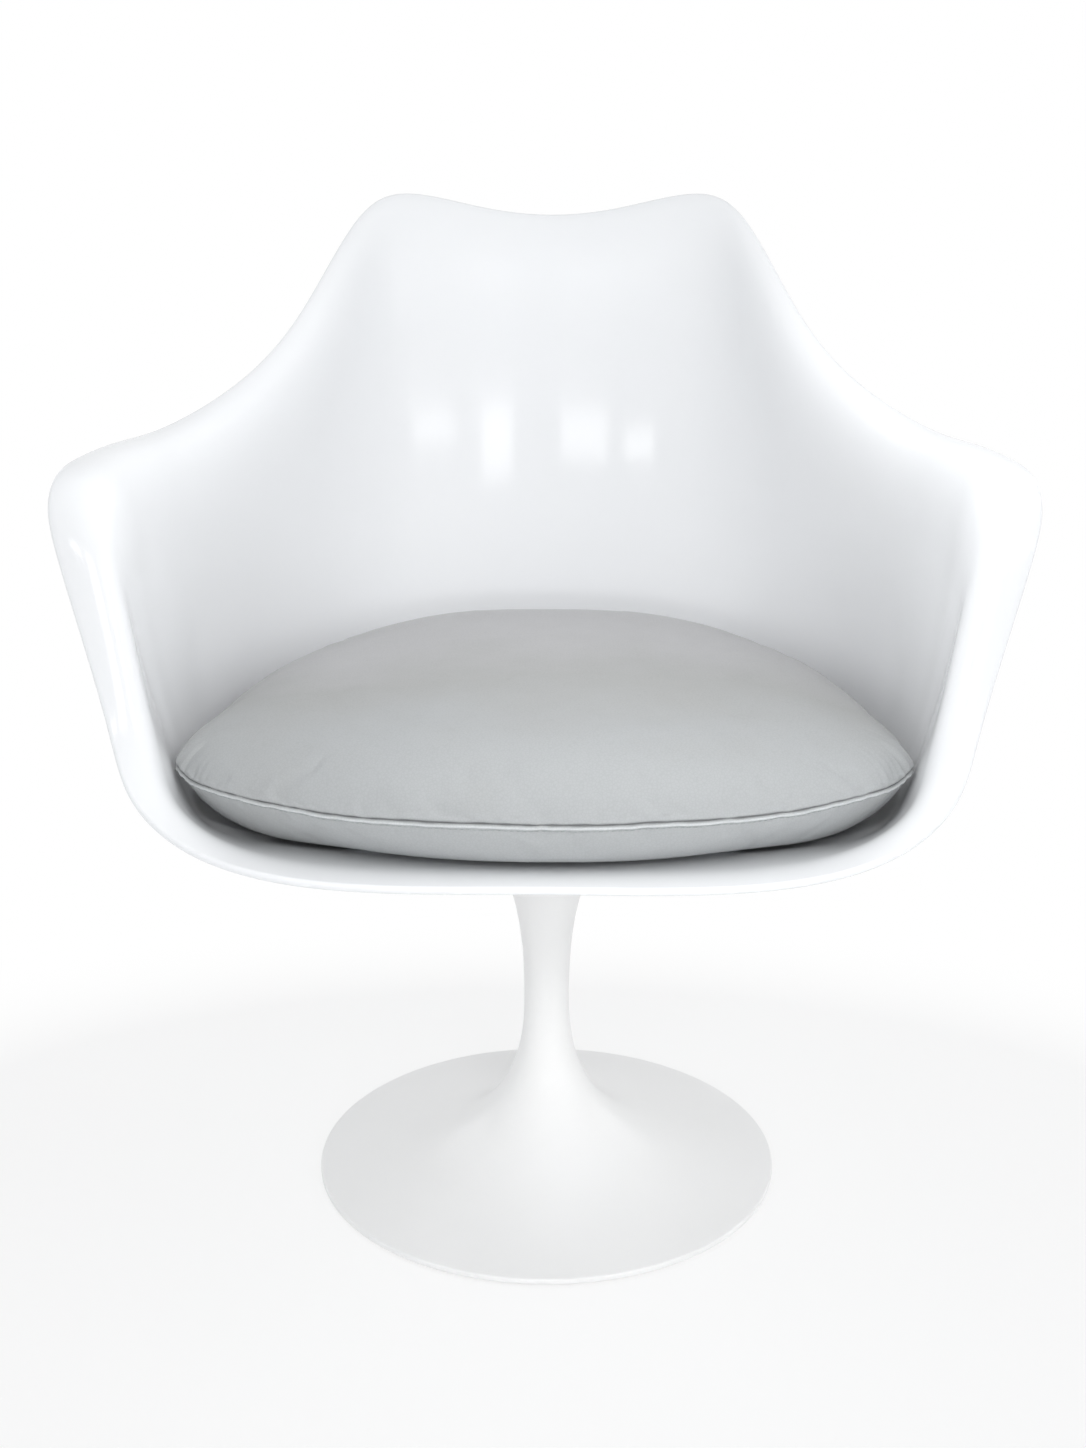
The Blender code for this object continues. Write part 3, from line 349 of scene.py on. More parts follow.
# Finishes of the other parts by slot, each with its name, its darker and lighter tone, its roughness, how
# metallic it is, the scale of its texture and the texture's height
PLAIN_FINISHES = {
    "glide": ("black_polymer", (0.015, 0.015, 0.015), (0.03, 0.03, 0.03), 0.55, 0.0, 60.0, 0.00003),
    "bush": ("cream_polymer", (0.62, 0.57, 0.44), (0.70, 0.64, 0.50), 0.45, 0.0, 60.0, 0.00003),
    "steel": ("zinc_plated_steel", (0.56, 0.57, 0.59), (0.66, 0.67, 0.69), 0.30, 1.0, 180.0, 0.00003),
    "hub": ("cast_aluminium", (0.58, 0.59, 0.60), (0.68, 0.69, 0.70), 0.42, 1.0, 90.0, 0.0001),
    "brass": ("machined_brass", (0.62, 0.44, 0.18), (0.72, 0.53, 0.25), 0.28, 1.0, 200.0, 0.00003),
}
ROUGHNESS_BELOW = 0.05
ROUGHNESS_ABOVE = 0.08

# The floor, and the oval of shade round the chair. Outside the oval it is as white as the background.
FLOOR_REACH = 30.0
FLOOR_COLOR = (0.90, 0.90, 0.90, 1.0)
FLOOR_ROUGHNESS = 0.9
FLOOR_LIFT_SHARE = 0.74
FLOOR_SHADE_FORWARD = 0.08
FLOOR_SHADE_SPAN = (0.10, 0.95)
FLOOR_SHADE_SQUASH = 1.5

# The world's fill, which is weaker behind the chair, and the directions along Y between which it changes
WHITE = (1.0, 1.0, 1.0, 1.0)
WORLD_COLOR = (0.97, 0.985, 1.0, 1.0)
WORLD_LEVEL = 0.75
WORLD_REAR_LEVEL = 0.60
WORLD_SPAN = (-0.4, 0.6)

# Studio lamps: powers in watts and sizes in metres. Each lamp has its place, the point that it faces, its
# width and height, its power, how wide it spreads in degrees, and whether gloss mirrors it.
CHAIR_MIDDLE = (0.0, 0.0, 0.5)
BACK_MIDDLE = (0.0, 0.25, 0.6)
SEAT_MIDDLE = (0.0, -0.1, 0.42)
STEM_MIDDLE = (0.0, 0.0, 0.25)
BASE_MIDDLE = (0.0, 0.0, 0.02)
GAP_MIDDLE = (0.0, -0.26, 0.44)
LAMPS = (
    ("overhead_softbox", (0.3, -0.9, 2.6), CHAIR_MIDDLE, 2.4, 1.8, 2.3, 180, False),
    ("key_softbox", (1.7, -1.0, 1.9), CHAIR_MIDDLE, 1.0, 1.0, 3.5, 180, False),
    ("front_fill", (0.1, -2.7, 0.95), CHAIR_MIDDLE, 1.8, 1.4, 2.6, 180, False),
    ("low_fill", (0.2, -2.3, 0.42), STEM_MIDDLE, 1.4, 0.6, 4.2, 180, False),
    ("seat_fill", (0.06, -0.22, 0.81), SEAT_MIDDLE, 0.50, 0.40, 0.68, 180, False),
    ("base_fill", (0.3, -1.2, 0.95), BASE_MIDDLE, 0.4, 0.3, 0.11, 26, False),
    ("gap_fill", (0.0, -1.7, 0.62), GAP_MIDDLE, 1.2, 0.25, 0.07, 30, False),
    ("window_near", (1.26, -1.84, 0.59), BACK_MIDDLE, 0.70, 0.10, 0.75, 180, True),
    ("window_far", (1.95, -1.13, 0.50), BACK_MIDDLE, 1.30, 0.10, 1.10, 180, True),
    ("window_tall", (0.58, -2.15, 0.64), BACK_MIDDLE, 0.30, 0.32, 1.00, 180, True),
    ("window_square", (-0.42, -2.20, 0.62), BACK_MIDDLE, 0.52, 0.22, 1.15, 180, True),
    ("window_small", (-0.95, -2.02, 0.65), BACK_MIDDLE, 0.30, 0.10, 0.42, 180, True),
    ("rear_left_card", (-1.7, 1.5, 1.15), CHAIR_MIDDLE, 1.1, 1.1, 3.0, 180, True),
    ("rear_right_card", (1.8, 1.5, 1.0), CHAIR_MIDDLE, 1.1, 1.1, 3.0, 180, True),
)


class ClosedCurve:
    """A smooth closed curve that passes its points at the given knots. One half mirrors the other in X."""

    def __init__(self, half_points, knots):
        self.points = mirrored(half_points)
        count = len(self.points)
        step = np.diff(np.append(knots, knots[-1] + knots[1] - knots[0]))
        matrix = np.zeros((count, count))
        target = np.zeros(self.points.shape)
        slope = (np.roll(self.points, -1, axis=0) - self.points) / step[:, None]
        for i in range(count):
            matrix[i, i - 1] += step[i - 1]
            matrix[i, i] += 2 * (step[i - 1] + step[i])
            matrix[i, (i + 1) % count] += step[i]
            target[i] = 6 * (slope[i] - slope[i - 1])
        self.bend = np.linalg.solve(matrix, target)
        self.step = step

    def at(self, places):
        """The points at places counted in stations, such as 2.5 for half way from the third to the fourth."""
        places = np.asarray(places, float)
        count = len(self.points)
        start = np.floor(places).astype(int) % count
        after = (start + 1) % count
        t = (places - np.floor(places))[:, None]
        a = 1 - t
        h = self.step[start][:, None]
        bend = (a ** 3 - a) * self.bend[start] + (t ** 3 - t) * self.bend[after]
        return a * self.points[start] + t * self.points[after] + h * h / 6 * bend


def mirrored(half_points):
    """The points of a half outline followed by their mirror images."""
    right = np.array(half_points, float)
    left = right[-2:0:-1] * np.array([-1.0] + [1.0] * (right.shape[1] - 1))
    return np.vstack([right, left])


def closed_knots(half_points):
    """Chord-length knots of the closed curve whose half is given."""
    chords = np.sqrt(np.linalg.norm(np.diff(mirrored(half_points), axis=0), axis=1))
    return np.concatenate([[0.0], np.cumsum(chords)])


def spline_weights(count, place):
    """Weights of a clamped cubic spline's control points at a place from 0 to count - 3."""
    spans = count - 3
    knots = [0.0] * 3 + [float(i) for i in range(spans + 1)] + [float(spans)] * 3
    span = min(int(place), spans - 1) + 3
    weights = np.zeros(len(knots) - 1)
    weights[span] = 1.0
    for degree in range(1, 4):
        raised = np.zeros(len(knots) - 1 - degree)
        for i in range(len(raised)):
            left = knots[i + degree] - knots[i]
            right = knots[i + degree + 1] - knots[i + 1]
            if left > 0:
                raised[i] += (place - knots[i]) / left * weights[i]
            if right > 0:
                raised[i] += (knots[i + degree + 1] - place) / right * weights[i + 1]
        weights = raised
    return weights


def unit(vectors):
    """Vectors scaled to length one along the last axis."""
    return vectors / np.linalg.norm(vectors, axis=-1, keepdims=True)


def smooth_step(values, low, high):
    """Zero under low, one over high, and a smooth rise between them."""
    t = np.clip((values - low) / (high - low), 0.0, 1.0)
    return t * t * (3 - 2 * t)


def bell(values, width):
    """A bell curve of height one."""
    return np.exp(-(values / width) ** 2)


def foot_point(turn):
    """A point of the wall's foot in plan: a rounded outline, squarer at the front than at the back."""
    angle = turn * math.pi / 2
    power = 2 / (FOOT_FRONT_POWER if turn < 0 else FOOT_BACK_POWER)
    reach = FOOT_FRONT - FOOT_MIDDLE if turn < 0 else FOOT_BACK + FOOT_MIDDLE
    x = FOOT_HALF_WIDTH * math.cos(angle) ** power if abs(turn) < 1 else 0.0
    y = math.copysign(abs(math.sin(angle)) ** power, turn) * reach - FOOT_MIDDLE
    rise = FOOT_RISE + (FRONT_FOOT_RISE - FOOT_RISE) * max(-math.sin(angle), 0.0)
    return np.array([x, y, PAN_HEIGHT + rise])


def shell_rails():
    """The seven closed curves that the shell is lofted through, from the flat of the pan out to the rim."""
    rim = []
    for x, y, z in RIM_SHARES:
        reach = SHELL_FRONT if y < 0 else SHELL_BACK
        rim.append((x * SHELL_HALF_WIDTH, y * reach, SEAT_EDGE_HEIGHT + z * (BACK_HEIGHT - SEAT_EDGE_HEIGHT)))
    rim = np.array(rim)
    lip = rim + np.array(LIP_SHARES) * LIP_WIDTH
    foot = np.array([foot_point(turn) for turn in FOOT_TURN_SHARES])
    away = unit(foot * (1.0, 1.0, 0.0))
    flat = away * PAN_FLAT_RADIUS + (0.0, 0.0, PAN_HEIGHT)
    floor = flat + (foot - flat) * (1.0, 1.0, 0.0) * FLOOR_MIDDLE_SHARE
    backwards = np.maximum(away[:, 1:2], 0.0) ** 2
    bulge = away * ((WALL_BULGE_SHARE + BACK_BULGE_SHARE * backwards) * (lip - foot)[:, 2:])
    low = foot + (lip - foot) * WALL_LOW_SHARE + bulge
    high = foot + (lip - foot) * WALL_HIGH_SHARE + bulge
    knots = closed_knots(rim)
    return [ClosedCurve(rail, knots) for rail in (flat, floor, foot, low, high, lip, rim)]


class ShellGrid:
    """The sitter's side of the shell as rows of points from the flat of the pan to the rim, with normals."""

    def __init__(self):
        rails = shell_rails()
        stations = np.arange(0, 2 * (len(RIM_SHARES) - 1), 1 / COLUMNS_PER_STATION)
        places = [0.0]
        for span, rows in enumerate(ROWS_PER_SPAN):
            places += [span + (i + 1) / rows for i in range(rows)]
        lines = np.array([rail.at(stations) for rail in rails])
        weights = np.array([spline_weights(len(rails), place) for place in places])
        self.points = np.einsum("rk,kcx->rcx", weights, lines)
        along = np.roll(self.points, -1, axis=1) - np.roll(self.points, 1, axis=1)
        self.outward = np.gradient(self.points, axis=0)
        self.normals = unit(np.cross(self.outward, along))


def mesh_from_rings(name, rings, closed_ends=True):
    """A surface through closed rings of points, whose count may halve or double from one to the next."""
    vertices = []
    faces = []
    starts = []
    for ring in rings:
        starts.append(len(vertices))
        vertices.extend(ring.tolist())
    for (a, ring_a), (b, ring_b) in zip(zip(starts, rings), zip(starts[1:], rings[1:])):
        n, m = len(ring_a), len(ring_b)
        if n == m:
            faces += [(a + i, a + (i + 1) % n, b + (i + 1) % n, b + i) for i in range(n)]
            continue
        fine, coarse, count = (a, b, m) if n > m else (b, a, n)
        for i in range(count):
            first, middle, last = fine + 2 * i, fine + 2 * i + 1, fine + (2 * i + 2) % (2 * count)
            near, after = coarse + i, coarse + (i + 1) % count
            faces += [(first, middle, near), (middle, after, near), (middle, last, after)]
    for end, turned in ((0, True), (-1, False)) if closed_ends else ():
        start, n = starts[end], len(rings[end])
        middle = len(vertices)
        vertices.append(rings[end].mean(axis=0).tolist())
        for i in range(n):
            pair = (start + i, start + (i + 1) % n)
            faces.append((*(reversed(pair) if turned else pair), middle))
    mesh = bpy.data.meshes.new(name)
    mesh.from_pydata(vertices, [], faces)
    turn_outwards(mesh)
    mesh.shade_smooth()
    return mesh


def turn_outwards(mesh, weld_distance=None):
    """Turns a mesh's faces outwards. Where a distance is given, points within it are joined first."""
    shape = bmesh.new()
    shape.from_mesh(mesh)
    if weld_distance:
        bmesh.ops.remove_doubles(shape, verts=shape.verts, dist=weld_distance)
    bmesh.ops.recalc_face_normals(shape, faces=shape.faces)
    shape.to_mesh(mesh)
    shape.free()


def placed(name, data):
    """A new object in the scene."""
    obj = bpy.data.objects.new(name, data)
    bpy.context.scene.collection.objects.link(obj)
    return obj


def add_piece(name, mesh, body, material, replaced=()):
    """A visible piece that rides on a CAD body and may stand for CAD nodes."""
    obj = placed(name, mesh)
    mesh.materials.append(material)
    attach(obj, body)
    if replaced:
        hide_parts(*replaced)
    return obj


def full_turn(count):
    """Angles of even steps round a full turn."""
    return 2 * math.pi * np.arange(count) / count


def turned_rings(profile, angles):
    """Rings of points for a profile of (radius, height) points."""
    rings = []
    for radius, height in profile:
        rings.append(np.column_stack([
            radius * np.cos(angles), radius * np.sin(angles), np.full(len(angles), height)
        ]))
    return rings


def flare_radius(height):
    """The radius of the flare from the stem's waist, past the swivel joint, to the shell's underside."""
    share = (SHELL_UNDERSIDE - height) / (SHELL_UNDERSIDE - FLARE_START_HEIGHT)
    return WAIST_RADIUS + (FLARE_END_RADIUS - WAIST_RADIUS) * (1 - math.sqrt(max(share, 0.0))) ** 2


def flare(top, bottom, count):
    """Points of that flare from one height down to another."""
    heights = [top + (bottom - top) * i / count for i in range(count + 1)]
    return [(flare_radius(height), height) for height in heights]


def parabola(start, corner, end, count):
    """Points of a parabola whose end tangents meet at the corner, with both ends."""
    points = []
    for i in range(count + 1):
        t = i / count
        points.append(tuple(
            (1 - t) ** 2 * a + 2 * t * (1 - t) * b + t ** 2 * c for a, b, c in zip(start, corner, end)
        ))
    return points


def make_base(material):
    """The pedestal casting with its fine sweep, rounded rim, glide groove, hollow and bore."""
    top_edge = STEM_TOP_HEIGHT - STEM_TOP_ROUND
    stem_top_radius = flare_radius(top_edge)
    groove_outer = GLIDE_MEAN_RADIUS + GLIDE_WIDTH / 2 + TOUCH_GAP
    groove_inner = GLIDE_MEAN_RADIUS - GLIDE_WIDTH / 2 - TOUCH_GAP
    groove_top = BASE_CLEARANCE + GLIDE_GROOVE_DEPTH
    edge = BASE_RADIUS - BASE_EDGE_ROUND
    profile = [
        (BUSH_POCKET_RADIUS, STEM_TOP_HEIGHT),
        *parabola(
            (stem_top_radius - STEM_TOP_ROUND, STEM_TOP_HEIGHT), (stem_top_radius, STEM_TOP_HEIGHT),
            (stem_top_radius, top_edge), ROUND_POINTS,
        ),
        *flare(top_edge, FLARE_START_HEIGHT, FLARE_POINTS)[1:],
        *parabola(
            (WAIST_RADIUS, WAIST_HEIGHT), (WAIST_RADIUS, BASE_SWEEP_HEIGHT), (edge, BASE_EDGE_HEIGHT),
            SWEEP_POINTS,
        ),
        *parabola(
            (edge, BASE_EDGE_HEIGHT), (BASE_RADIUS, BASE_EDGE_HEIGHT),
            (BASE_RADIUS, BASE_EDGE_HEIGHT - BASE_EDGE_ROUND), ROUND_POINTS,
        )[1:],
        *parabola(
            (BASE_RADIUS, BASE_CLEARANCE + BASE_EDGE_ROUND), (BASE_RADIUS, BASE_CLEARANCE),
            (edge, BASE_CLEARANCE), ROUND_POINTS,
        ),
        (groove_outer, BASE_CLEARANCE),
        (groove_outer, groove_top),
        (groove_inner, groove_top),
        (groove_inner, BASE_CLEARANCE),
        *parabola(
            (HOLLOW_RADIUS, BASE_CLEARANCE), (HOLLOW_BORE_RADIUS, HOLLOW_SWEEP_HEIGHT),
            (HOLLOW_BORE_RADIUS, HOLLOW_TOP_HEIGHT), HOLLOW_POINTS,
        ),
        (HOLLOW_BORE_RADIUS, LOWER_BUSH_BOTTOM - TOUCH_GAP),
        (BUSH_POCKET_RADIUS, LOWER_BUSH_BOTTOM - TOUCH_GAP),
        (BUSH_POCKET_RADIUS, LOWER_BUSH_TOP + TOUCH_GAP),
        (STEM_BORE_RADIUS, LOWER_BUSH_TOP + TOUCH_GAP),
        (STEM_BORE_RADIUS, UPPER_BUSH_BOTTOM - TOUCH_GAP),
        (BUSH_POCKET_RADIUS, UPPER_BUSH_BOTTOM - TOUCH_GAP),
    ]
    rings = turned_rings(profile, full_turn(TURNED_STEPS))
    mesh = mesh_from_rings("pedestal_casting", rings + rings[:1], closed_ends=False)
    turn_outwards(mesh, TINY_LENGTH)
    mesh.set_sharp_from_angle(angle=PEDESTAL_SHARP_ANGLE)
    add_piece("pedestal_casting", mesh, "base", material, ["base_casting"])


def make_shell(grid, material):
    """The shell: both faces of the loft, a rounded rim, and the neck that carries on the stem's flare."""
    inner = grid.points
    normals = grid.normals
    outer = inner - normals * SHELL_THICKNESS
    edge_out = unit(grid.outward[-1])
    edge_out = unit(edge_out - normals[-1] * np.sum(edge_out * normals[-1], axis=-1, keepdims=True))
    centre = inner[-1] - normals[-1] * (SHELL_THICKNESS / 2) - edge_out * SHELL_EDGE_ROUND
    rings = list(inner[:-1])
    for i in range(EDGE_ROUND_POINTS + 1):
        turn = math.pi * i / EDGE_ROUND_POINTS
        rings.append(
            centre + normals[-1] * (math.cos(turn) * SHELL_THICKNESS / 2)
            + edge_out * (math.sin(turn) * SHELL_EDGE_ROUND)
        )
    rings += list(outer[-2::-1])
    angles = np.arctan2(inner[0, :, 1], inner[0, :, 0])
    socket = HUB_RADIUS + TOUCH_GAP
    neck = [
        *flare(SHELL_UNDERSIDE, NECK_BOTTOM + NECK_EDGE_ROUND, NECK_POINTS),
        (flare_radius(NECK_BOTTOM) - NECK_EDGE_ROUND, NECK_BOTTOM),
        (socket, NECK_BOTTOM),
        (socket, NECK_FACE_HEIGHT),
        *[(socket * share, NECK_FACE_HEIGHT) for share in PAN_RING_SHARES],
    ]
    rings += turned_rings(neck, angles)
    pan = [(PAN_FLAT_RADIUS * share, PAN_HEIGHT) for share in reversed(PAN_RING_SHARES)]
    rings = turned_rings(pan, angles) + rings
    mesh = mesh_from_rings("moulded_shell", rings)
    mesh.set_sharp_from_angle(angle=SHELL_SHARP_ANGLE)
    shell = add_piece("moulded_shell", mesh, "seat", material, ["seat_shell"])
    cut_insert_holes(shell)


def cut_insert_holes(shell):
    """Cuts the holes for the four threaded inserts in the neck's face."""
    flange_top = NECK_FACE_HEIGHT + INSERT_FLANGE_THICKNESS + TOUCH_GAP
    overrun = INSERT_FLANGE_THICKNESS
    profile = [
        (INSERT_RADIUS + TOUCH_GAP, NECK_FACE_HEIGHT + INSERT_LENGTH + TOUCH_GAP),
        (INSERT_RADIUS + TOUCH_GAP, flange_top),
        (INSERT_FLANGE_RADIUS + TOUCH_GAP, flange_top),
        (INSERT_FLANGE_RADIUS + TOUCH_GAP, NECK_FACE_HEIGHT - overrun),
    ]
    angles = full_turn(HOLE_STEPS)
    for i in range(INSERT_COUNT):
        turn = math.pi / INSERT_COUNT + 2 * math.pi * i / INSERT_COUNT
        offset = (INSERT_CIRCLE_RADIUS * math.cos(turn), INSERT_CIRCLE_RADIUS * math.sin(turn), 0.0)
        rings = [ring + offset for ring in turned_rings(profile, angles)]
        cutter = placed("insert_hole", mesh_from_rings("insert_hole", rings))
        modifier = shell.modifiers.new("insert_hole", "BOOLEAN")
        modifier.object = cutter
        modifier.solver = "EXACT"
        apply_modifiers(shell)
        bpy.data.objects.remove(cutter, do_unlink=True)


def apply_modifiers(obj):
    """Replaces an object's mesh with the one that its modifiers make."""
    bpy.context.view_layer.update()
    graph = bpy.context.evaluated_depsgraph_get()
    mesh = bpy.data.meshes.new_from_object(obj.evaluated_get(graph))
    old = obj.data
    obj.modifiers.clear()
    obj.data = mesh
    mesh.name = old.name
    bpy.data.meshes.remove(old)


class Pan:
    """The height over the pan at any place in plan, a given distance off the shell."""

    def __init__(self, grid, lift):
        rows, columns, _ = grid.points.shape
        points = (grid.points + grid.normals * lift).reshape(-1, 3)
        first = np.arange((rows - 1) * columns).reshape(rows - 1, columns)
        after = np.roll(first, -1, axis=1)
        faces = np.stack([first, after, after + columns, first + columns], axis=-1).reshape(-1, 4).tolist()
        faces.append(list(range(columns)))
        self.tree = BVHTree.FromPolygons([Vector(point) for point in points], faces)

    def hit(self, x, y):
        """The point and normal of the lifted surface under a place."""
        point, normal, _, _ = self.tree.ray_cast(Vector((x, y, SEAM_HEIGHT)), Vector((0.0, 0.0, -1.0)))
        return point, normal if normal is None or normal.z > 0 else -normal

    def heights(self, plan):
        """Heights for many places in plan."""
        flat = plan.reshape(-1, 2)
        found = np.array([self.hit(x, y)[0].z for x, y in flat])
        return found.reshape(plan.shape[:-1])


def section_steps(section):
    """The length of each step of many sections (columns, samples, 3)."""
    return np.linalg.norm(np.diff(section, axis=1), axis=2)


def along_section(section, distances):
    """Points of many sections at distances from their start (columns, rows)."""
    lengths = np.cumsum(section_steps(section), axis=1)
    lengths = np.concatenate([np.zeros((len(section), 1)), lengths], axis=1)
    rows = np.empty((len(section), distances.shape[1], 3))
    for column in range(len(section)):
        for axis in range(3):
            rows[column, :, axis] = np.interp(distances[column], lengths[column], section[column, :, axis])
    return rows


def ring_distances(lengths):
    """Distances of the rings from the seam: fine ones at the seam, and even ones on to near the middle."""
    fine = np.tile(SEAM_RINGS, (len(lengths), 1))
    shares = (np.arange(EVEN_RINGS) + 1) / (EVEN_RINGS + 1)
    even = SEAM_RINGS[-1] + (lengths[:, None] - SEAM_RINGS[-1]) * shares
    return np.concatenate([fine, even], axis=1)


class CushionForm:
    """The cushion's outside as rings of points, from the middle of its top to that of its underside."""

    def __init__(self, pan):
        seam = np.array(SEAM_SHARES)
        reach = np.where(seam[:, 1] < 0, CUSHION_FRONT, CUSHION_BACK)
        rows = np.column_stack([seam[:, 0] * CUSHION_HALF_WIDTH, seam[:, 1] * reach, seam[:, 2]])
        curve = ClosedCurve(rows, closed_knots(rows[:, :2]))
        found = curve.at(SEAM_STATIONS * np.arange(CUSHION_COLUMNS) / CUSHION_COLUMNS)
        self.outline = found[:, :2]
        self.under_reach = found[:, 2]
        self.middle = np.array([0.0, -CUSHION_MIDDLE])
        self.pan = pan
        steps = np.linalg.norm(np.roll(self.outline, -1, axis=0) - self.outline, axis=1)
        self.girth = steps.sum()
        self.along = np.concatenate([[0.0], np.cumsum(steps)[:-1]])
        self.sideways = smooth_step(np.abs(unit(self.outline - self.middle)[:, 0]), SIDE_START, SIDE_END)

    def distance_to_corner(self):
        """How far each column is from the nearer front corner, along the seam."""
        nearest = np.full(CUSHION_COLUMNS, self.girth)
        for station in (CORNER_STATION, SEAM_STATIONS - CORNER_STATION):
            gap = np.abs(self.along - self.along[CUSHION_COLUMNS * station // SEAM_STATIONS])
            nearest = np.minimum(nearest, np.minimum(gap, self.girth - gap))
        return nearest

    def top_section(self):
        """From the seam up over the crown to the middle."""
        turn = np.linspace(0.0, math.pi / 2, SECTION_SAMPLES)[None, :]
        power = CROWN_POWER - CORNER_POWER_FALL * self.sideways[:, None]
        reach = np.cos(turn) ** (2 / power)
        reach[:, -1] = 0.0
        rise = np.sin(turn) ** (2 / power) * CUSHION_CROWN
        ray = self.outline - self.middle
        plan = self.middle + ray[:, None, :] * reach[..., None]
        height = SEAM_HEIGHT + rise
        return np.concatenate([plan, height[..., None]], axis=2)

    def under_section(self):
        """From the seam down the drawn-in side, and then along the pan to the middle."""
        ray = self.outline - self.middle
        low_plan = self.middle + ray * self.under_reach[:, None]
        low_height = self.pan.heights(low_plan)
        seam = np.column_stack([self.outline, np.full(len(ray), SEAM_HEIGHT)])
        low = np.column_stack([low_plan, low_height])
        corner_plan = self.outline * UNDER_FULLNESS_SHARE + low_plan * (1 - UNDER_FULLNESS_SHARE)
        corner = np.column_stack([corner_plan, low_height])
        t = np.linspace(0.0, 1.0, SECTION_SAMPLES // 2)[None, :, None]
        side = (1 - t) ** 2 * seam[:, None] + 2 * t * (1 - t) * corner[:, None] + t ** 2 * low[:, None]
        shares = np.linspace(1.0, 0.0, UNDER_STEPS)[1:]
        plan = self.middle + (low_plan - self.middle)[:, None, :] * shares[None, :, None]
        flat = np.concatenate([plan, self.pan.heights(plan)[..., None]], axis=2)
        return np.concatenate([side, flat], axis=1)

    def panel(self, section):
        """A panel's points by ring and column, and their distances from the seam."""
        distances = ring_distances(section_steps(section).sum(axis=1))
        points = along_section(section, distances)
        return points.transpose(1, 0, 2), distances.T


def grid_normals(points, side):
    """Normals of a grid of points by ring and column, closed round the columns: up for 1, down for -1."""
    along = np.roll(points, -1, axis=1) - np.roll(points, 1, axis=1)
    across = np.gradient(points, axis=0)
    normals = unit(np.cross(along, across))
    return normals * side * math.copysign(1.0, normals[..., 2].sum())


def cubic_rows(rows, places, closed):
    """Rows of a grid at places between them, by a cubic that passes through the rows."""
    count = len(rows)
    start = np.floor(places).astype(int)
    start = start if closed else np.minimum(start, count - 2)
    t = (places - start).reshape(-1, *[1] * (rows.ndim - 1))
    near = [start + offset for offset in (-1, 0, 1, 2)]
    near = [index % count if closed else np.clip(index, 0, count - 1) for index in near]
    a, b, c, d = (rows[index] for index in near)
    return b + t / 2 * (c - a + t * (2 * a - 5 * b + 4 * c - d + t * (3 * (b - c) + d - a)))


def filled_shifts(top, under, top_distance, under_distance):
    """How the panels' points move when leather cut a little too large is sewn at the seam and filled."""
    rings = list(CLOTH_RINGS)
    step = CLOTH_COLUMN_STEP
    sheet = np.concatenate([top[rings, ::step][::-1], under[rings, ::step][1:]])
    top_held = smooth_step(top_distance[rings, ::step], *TOP_HELD)
    under_held = smooth_step(under_distance[rings, ::step], *UNDER_HELD)
    top_held[[0, -1]] = 1.0
    under_held[-1] = 1.0
    held = np.concatenate([top_held[::-1].ravel(), under_held[1:].ravel(), np.ones(2)])
    found = filled(mesh_from_rings("leather_sheet", list(sheet)), held)

    shift = found[:-2].reshape(sheet.shape) - sheet
    length = np.linalg.norm(shift, axis=-1, keepdims=True)
    shift *= CLOTH_REACH * np.tanh(length / CLOTH_REACH) / np.maximum(length, TINY_LENGTH)
    count = len(rings)
    columns = np.arange(top.shape[1]) / step
    places = np.interp(np.arange(rings[-1] + 1), rings, np.arange(count))
    shifts = []
    for panel, coarse in ((top, shift[:count][::-1]), (under, shift[count - 1:])):
        wide = cubic_rows(coarse.transpose(1, 0, 2), columns, True).transpose(1, 0, 2)
        fine = np.zeros(panel.shape)
        fine[:rings[-1] + 1] = cubic_rows(wide, places, False)
        shifts.append(fine)
    return shifts


def filled(mesh, held):
    """Where the points of a leather sheet come to rest under pressure, with how far each is held."""
    obj = placed(mesh.name, mesh)
    scene = bpy.context.scene
    group = obj.vertex_groups.new(name="held")
    for index, weight in enumerate(held.tolist()):
        group.add([index], weight, "REPLACE")
    cloth = obj.modifiers.new("filling", "CLOTH")
    for name, value in CLOTH_SETTINGS.items():
        setattr(cloth.settings, name, value)
    cloth.settings.effector_weights.gravity = 0.0
    cloth.collision_settings.use_collision = False
    for number in range(1, CLOTH_FRAMES + 1):
        scene.frame_set(number)
    apply_modifiers(obj)
    found = np.empty(len(obj.data.vertices) * 3)
    obj.data.vertices.foreach_get("co", found)
    bpy.data.objects.remove(obj, do_unlink=True)
    scene.frame_set(1)
    return found.reshape(-1, 3)


def waves(values, terms):
    """A sum of sines. Each term has a wavelength, a phase and a weight."""
    return sum(weight * np.sin(2 * math.pi * values / length + phase) for length, phase, weight in terms)


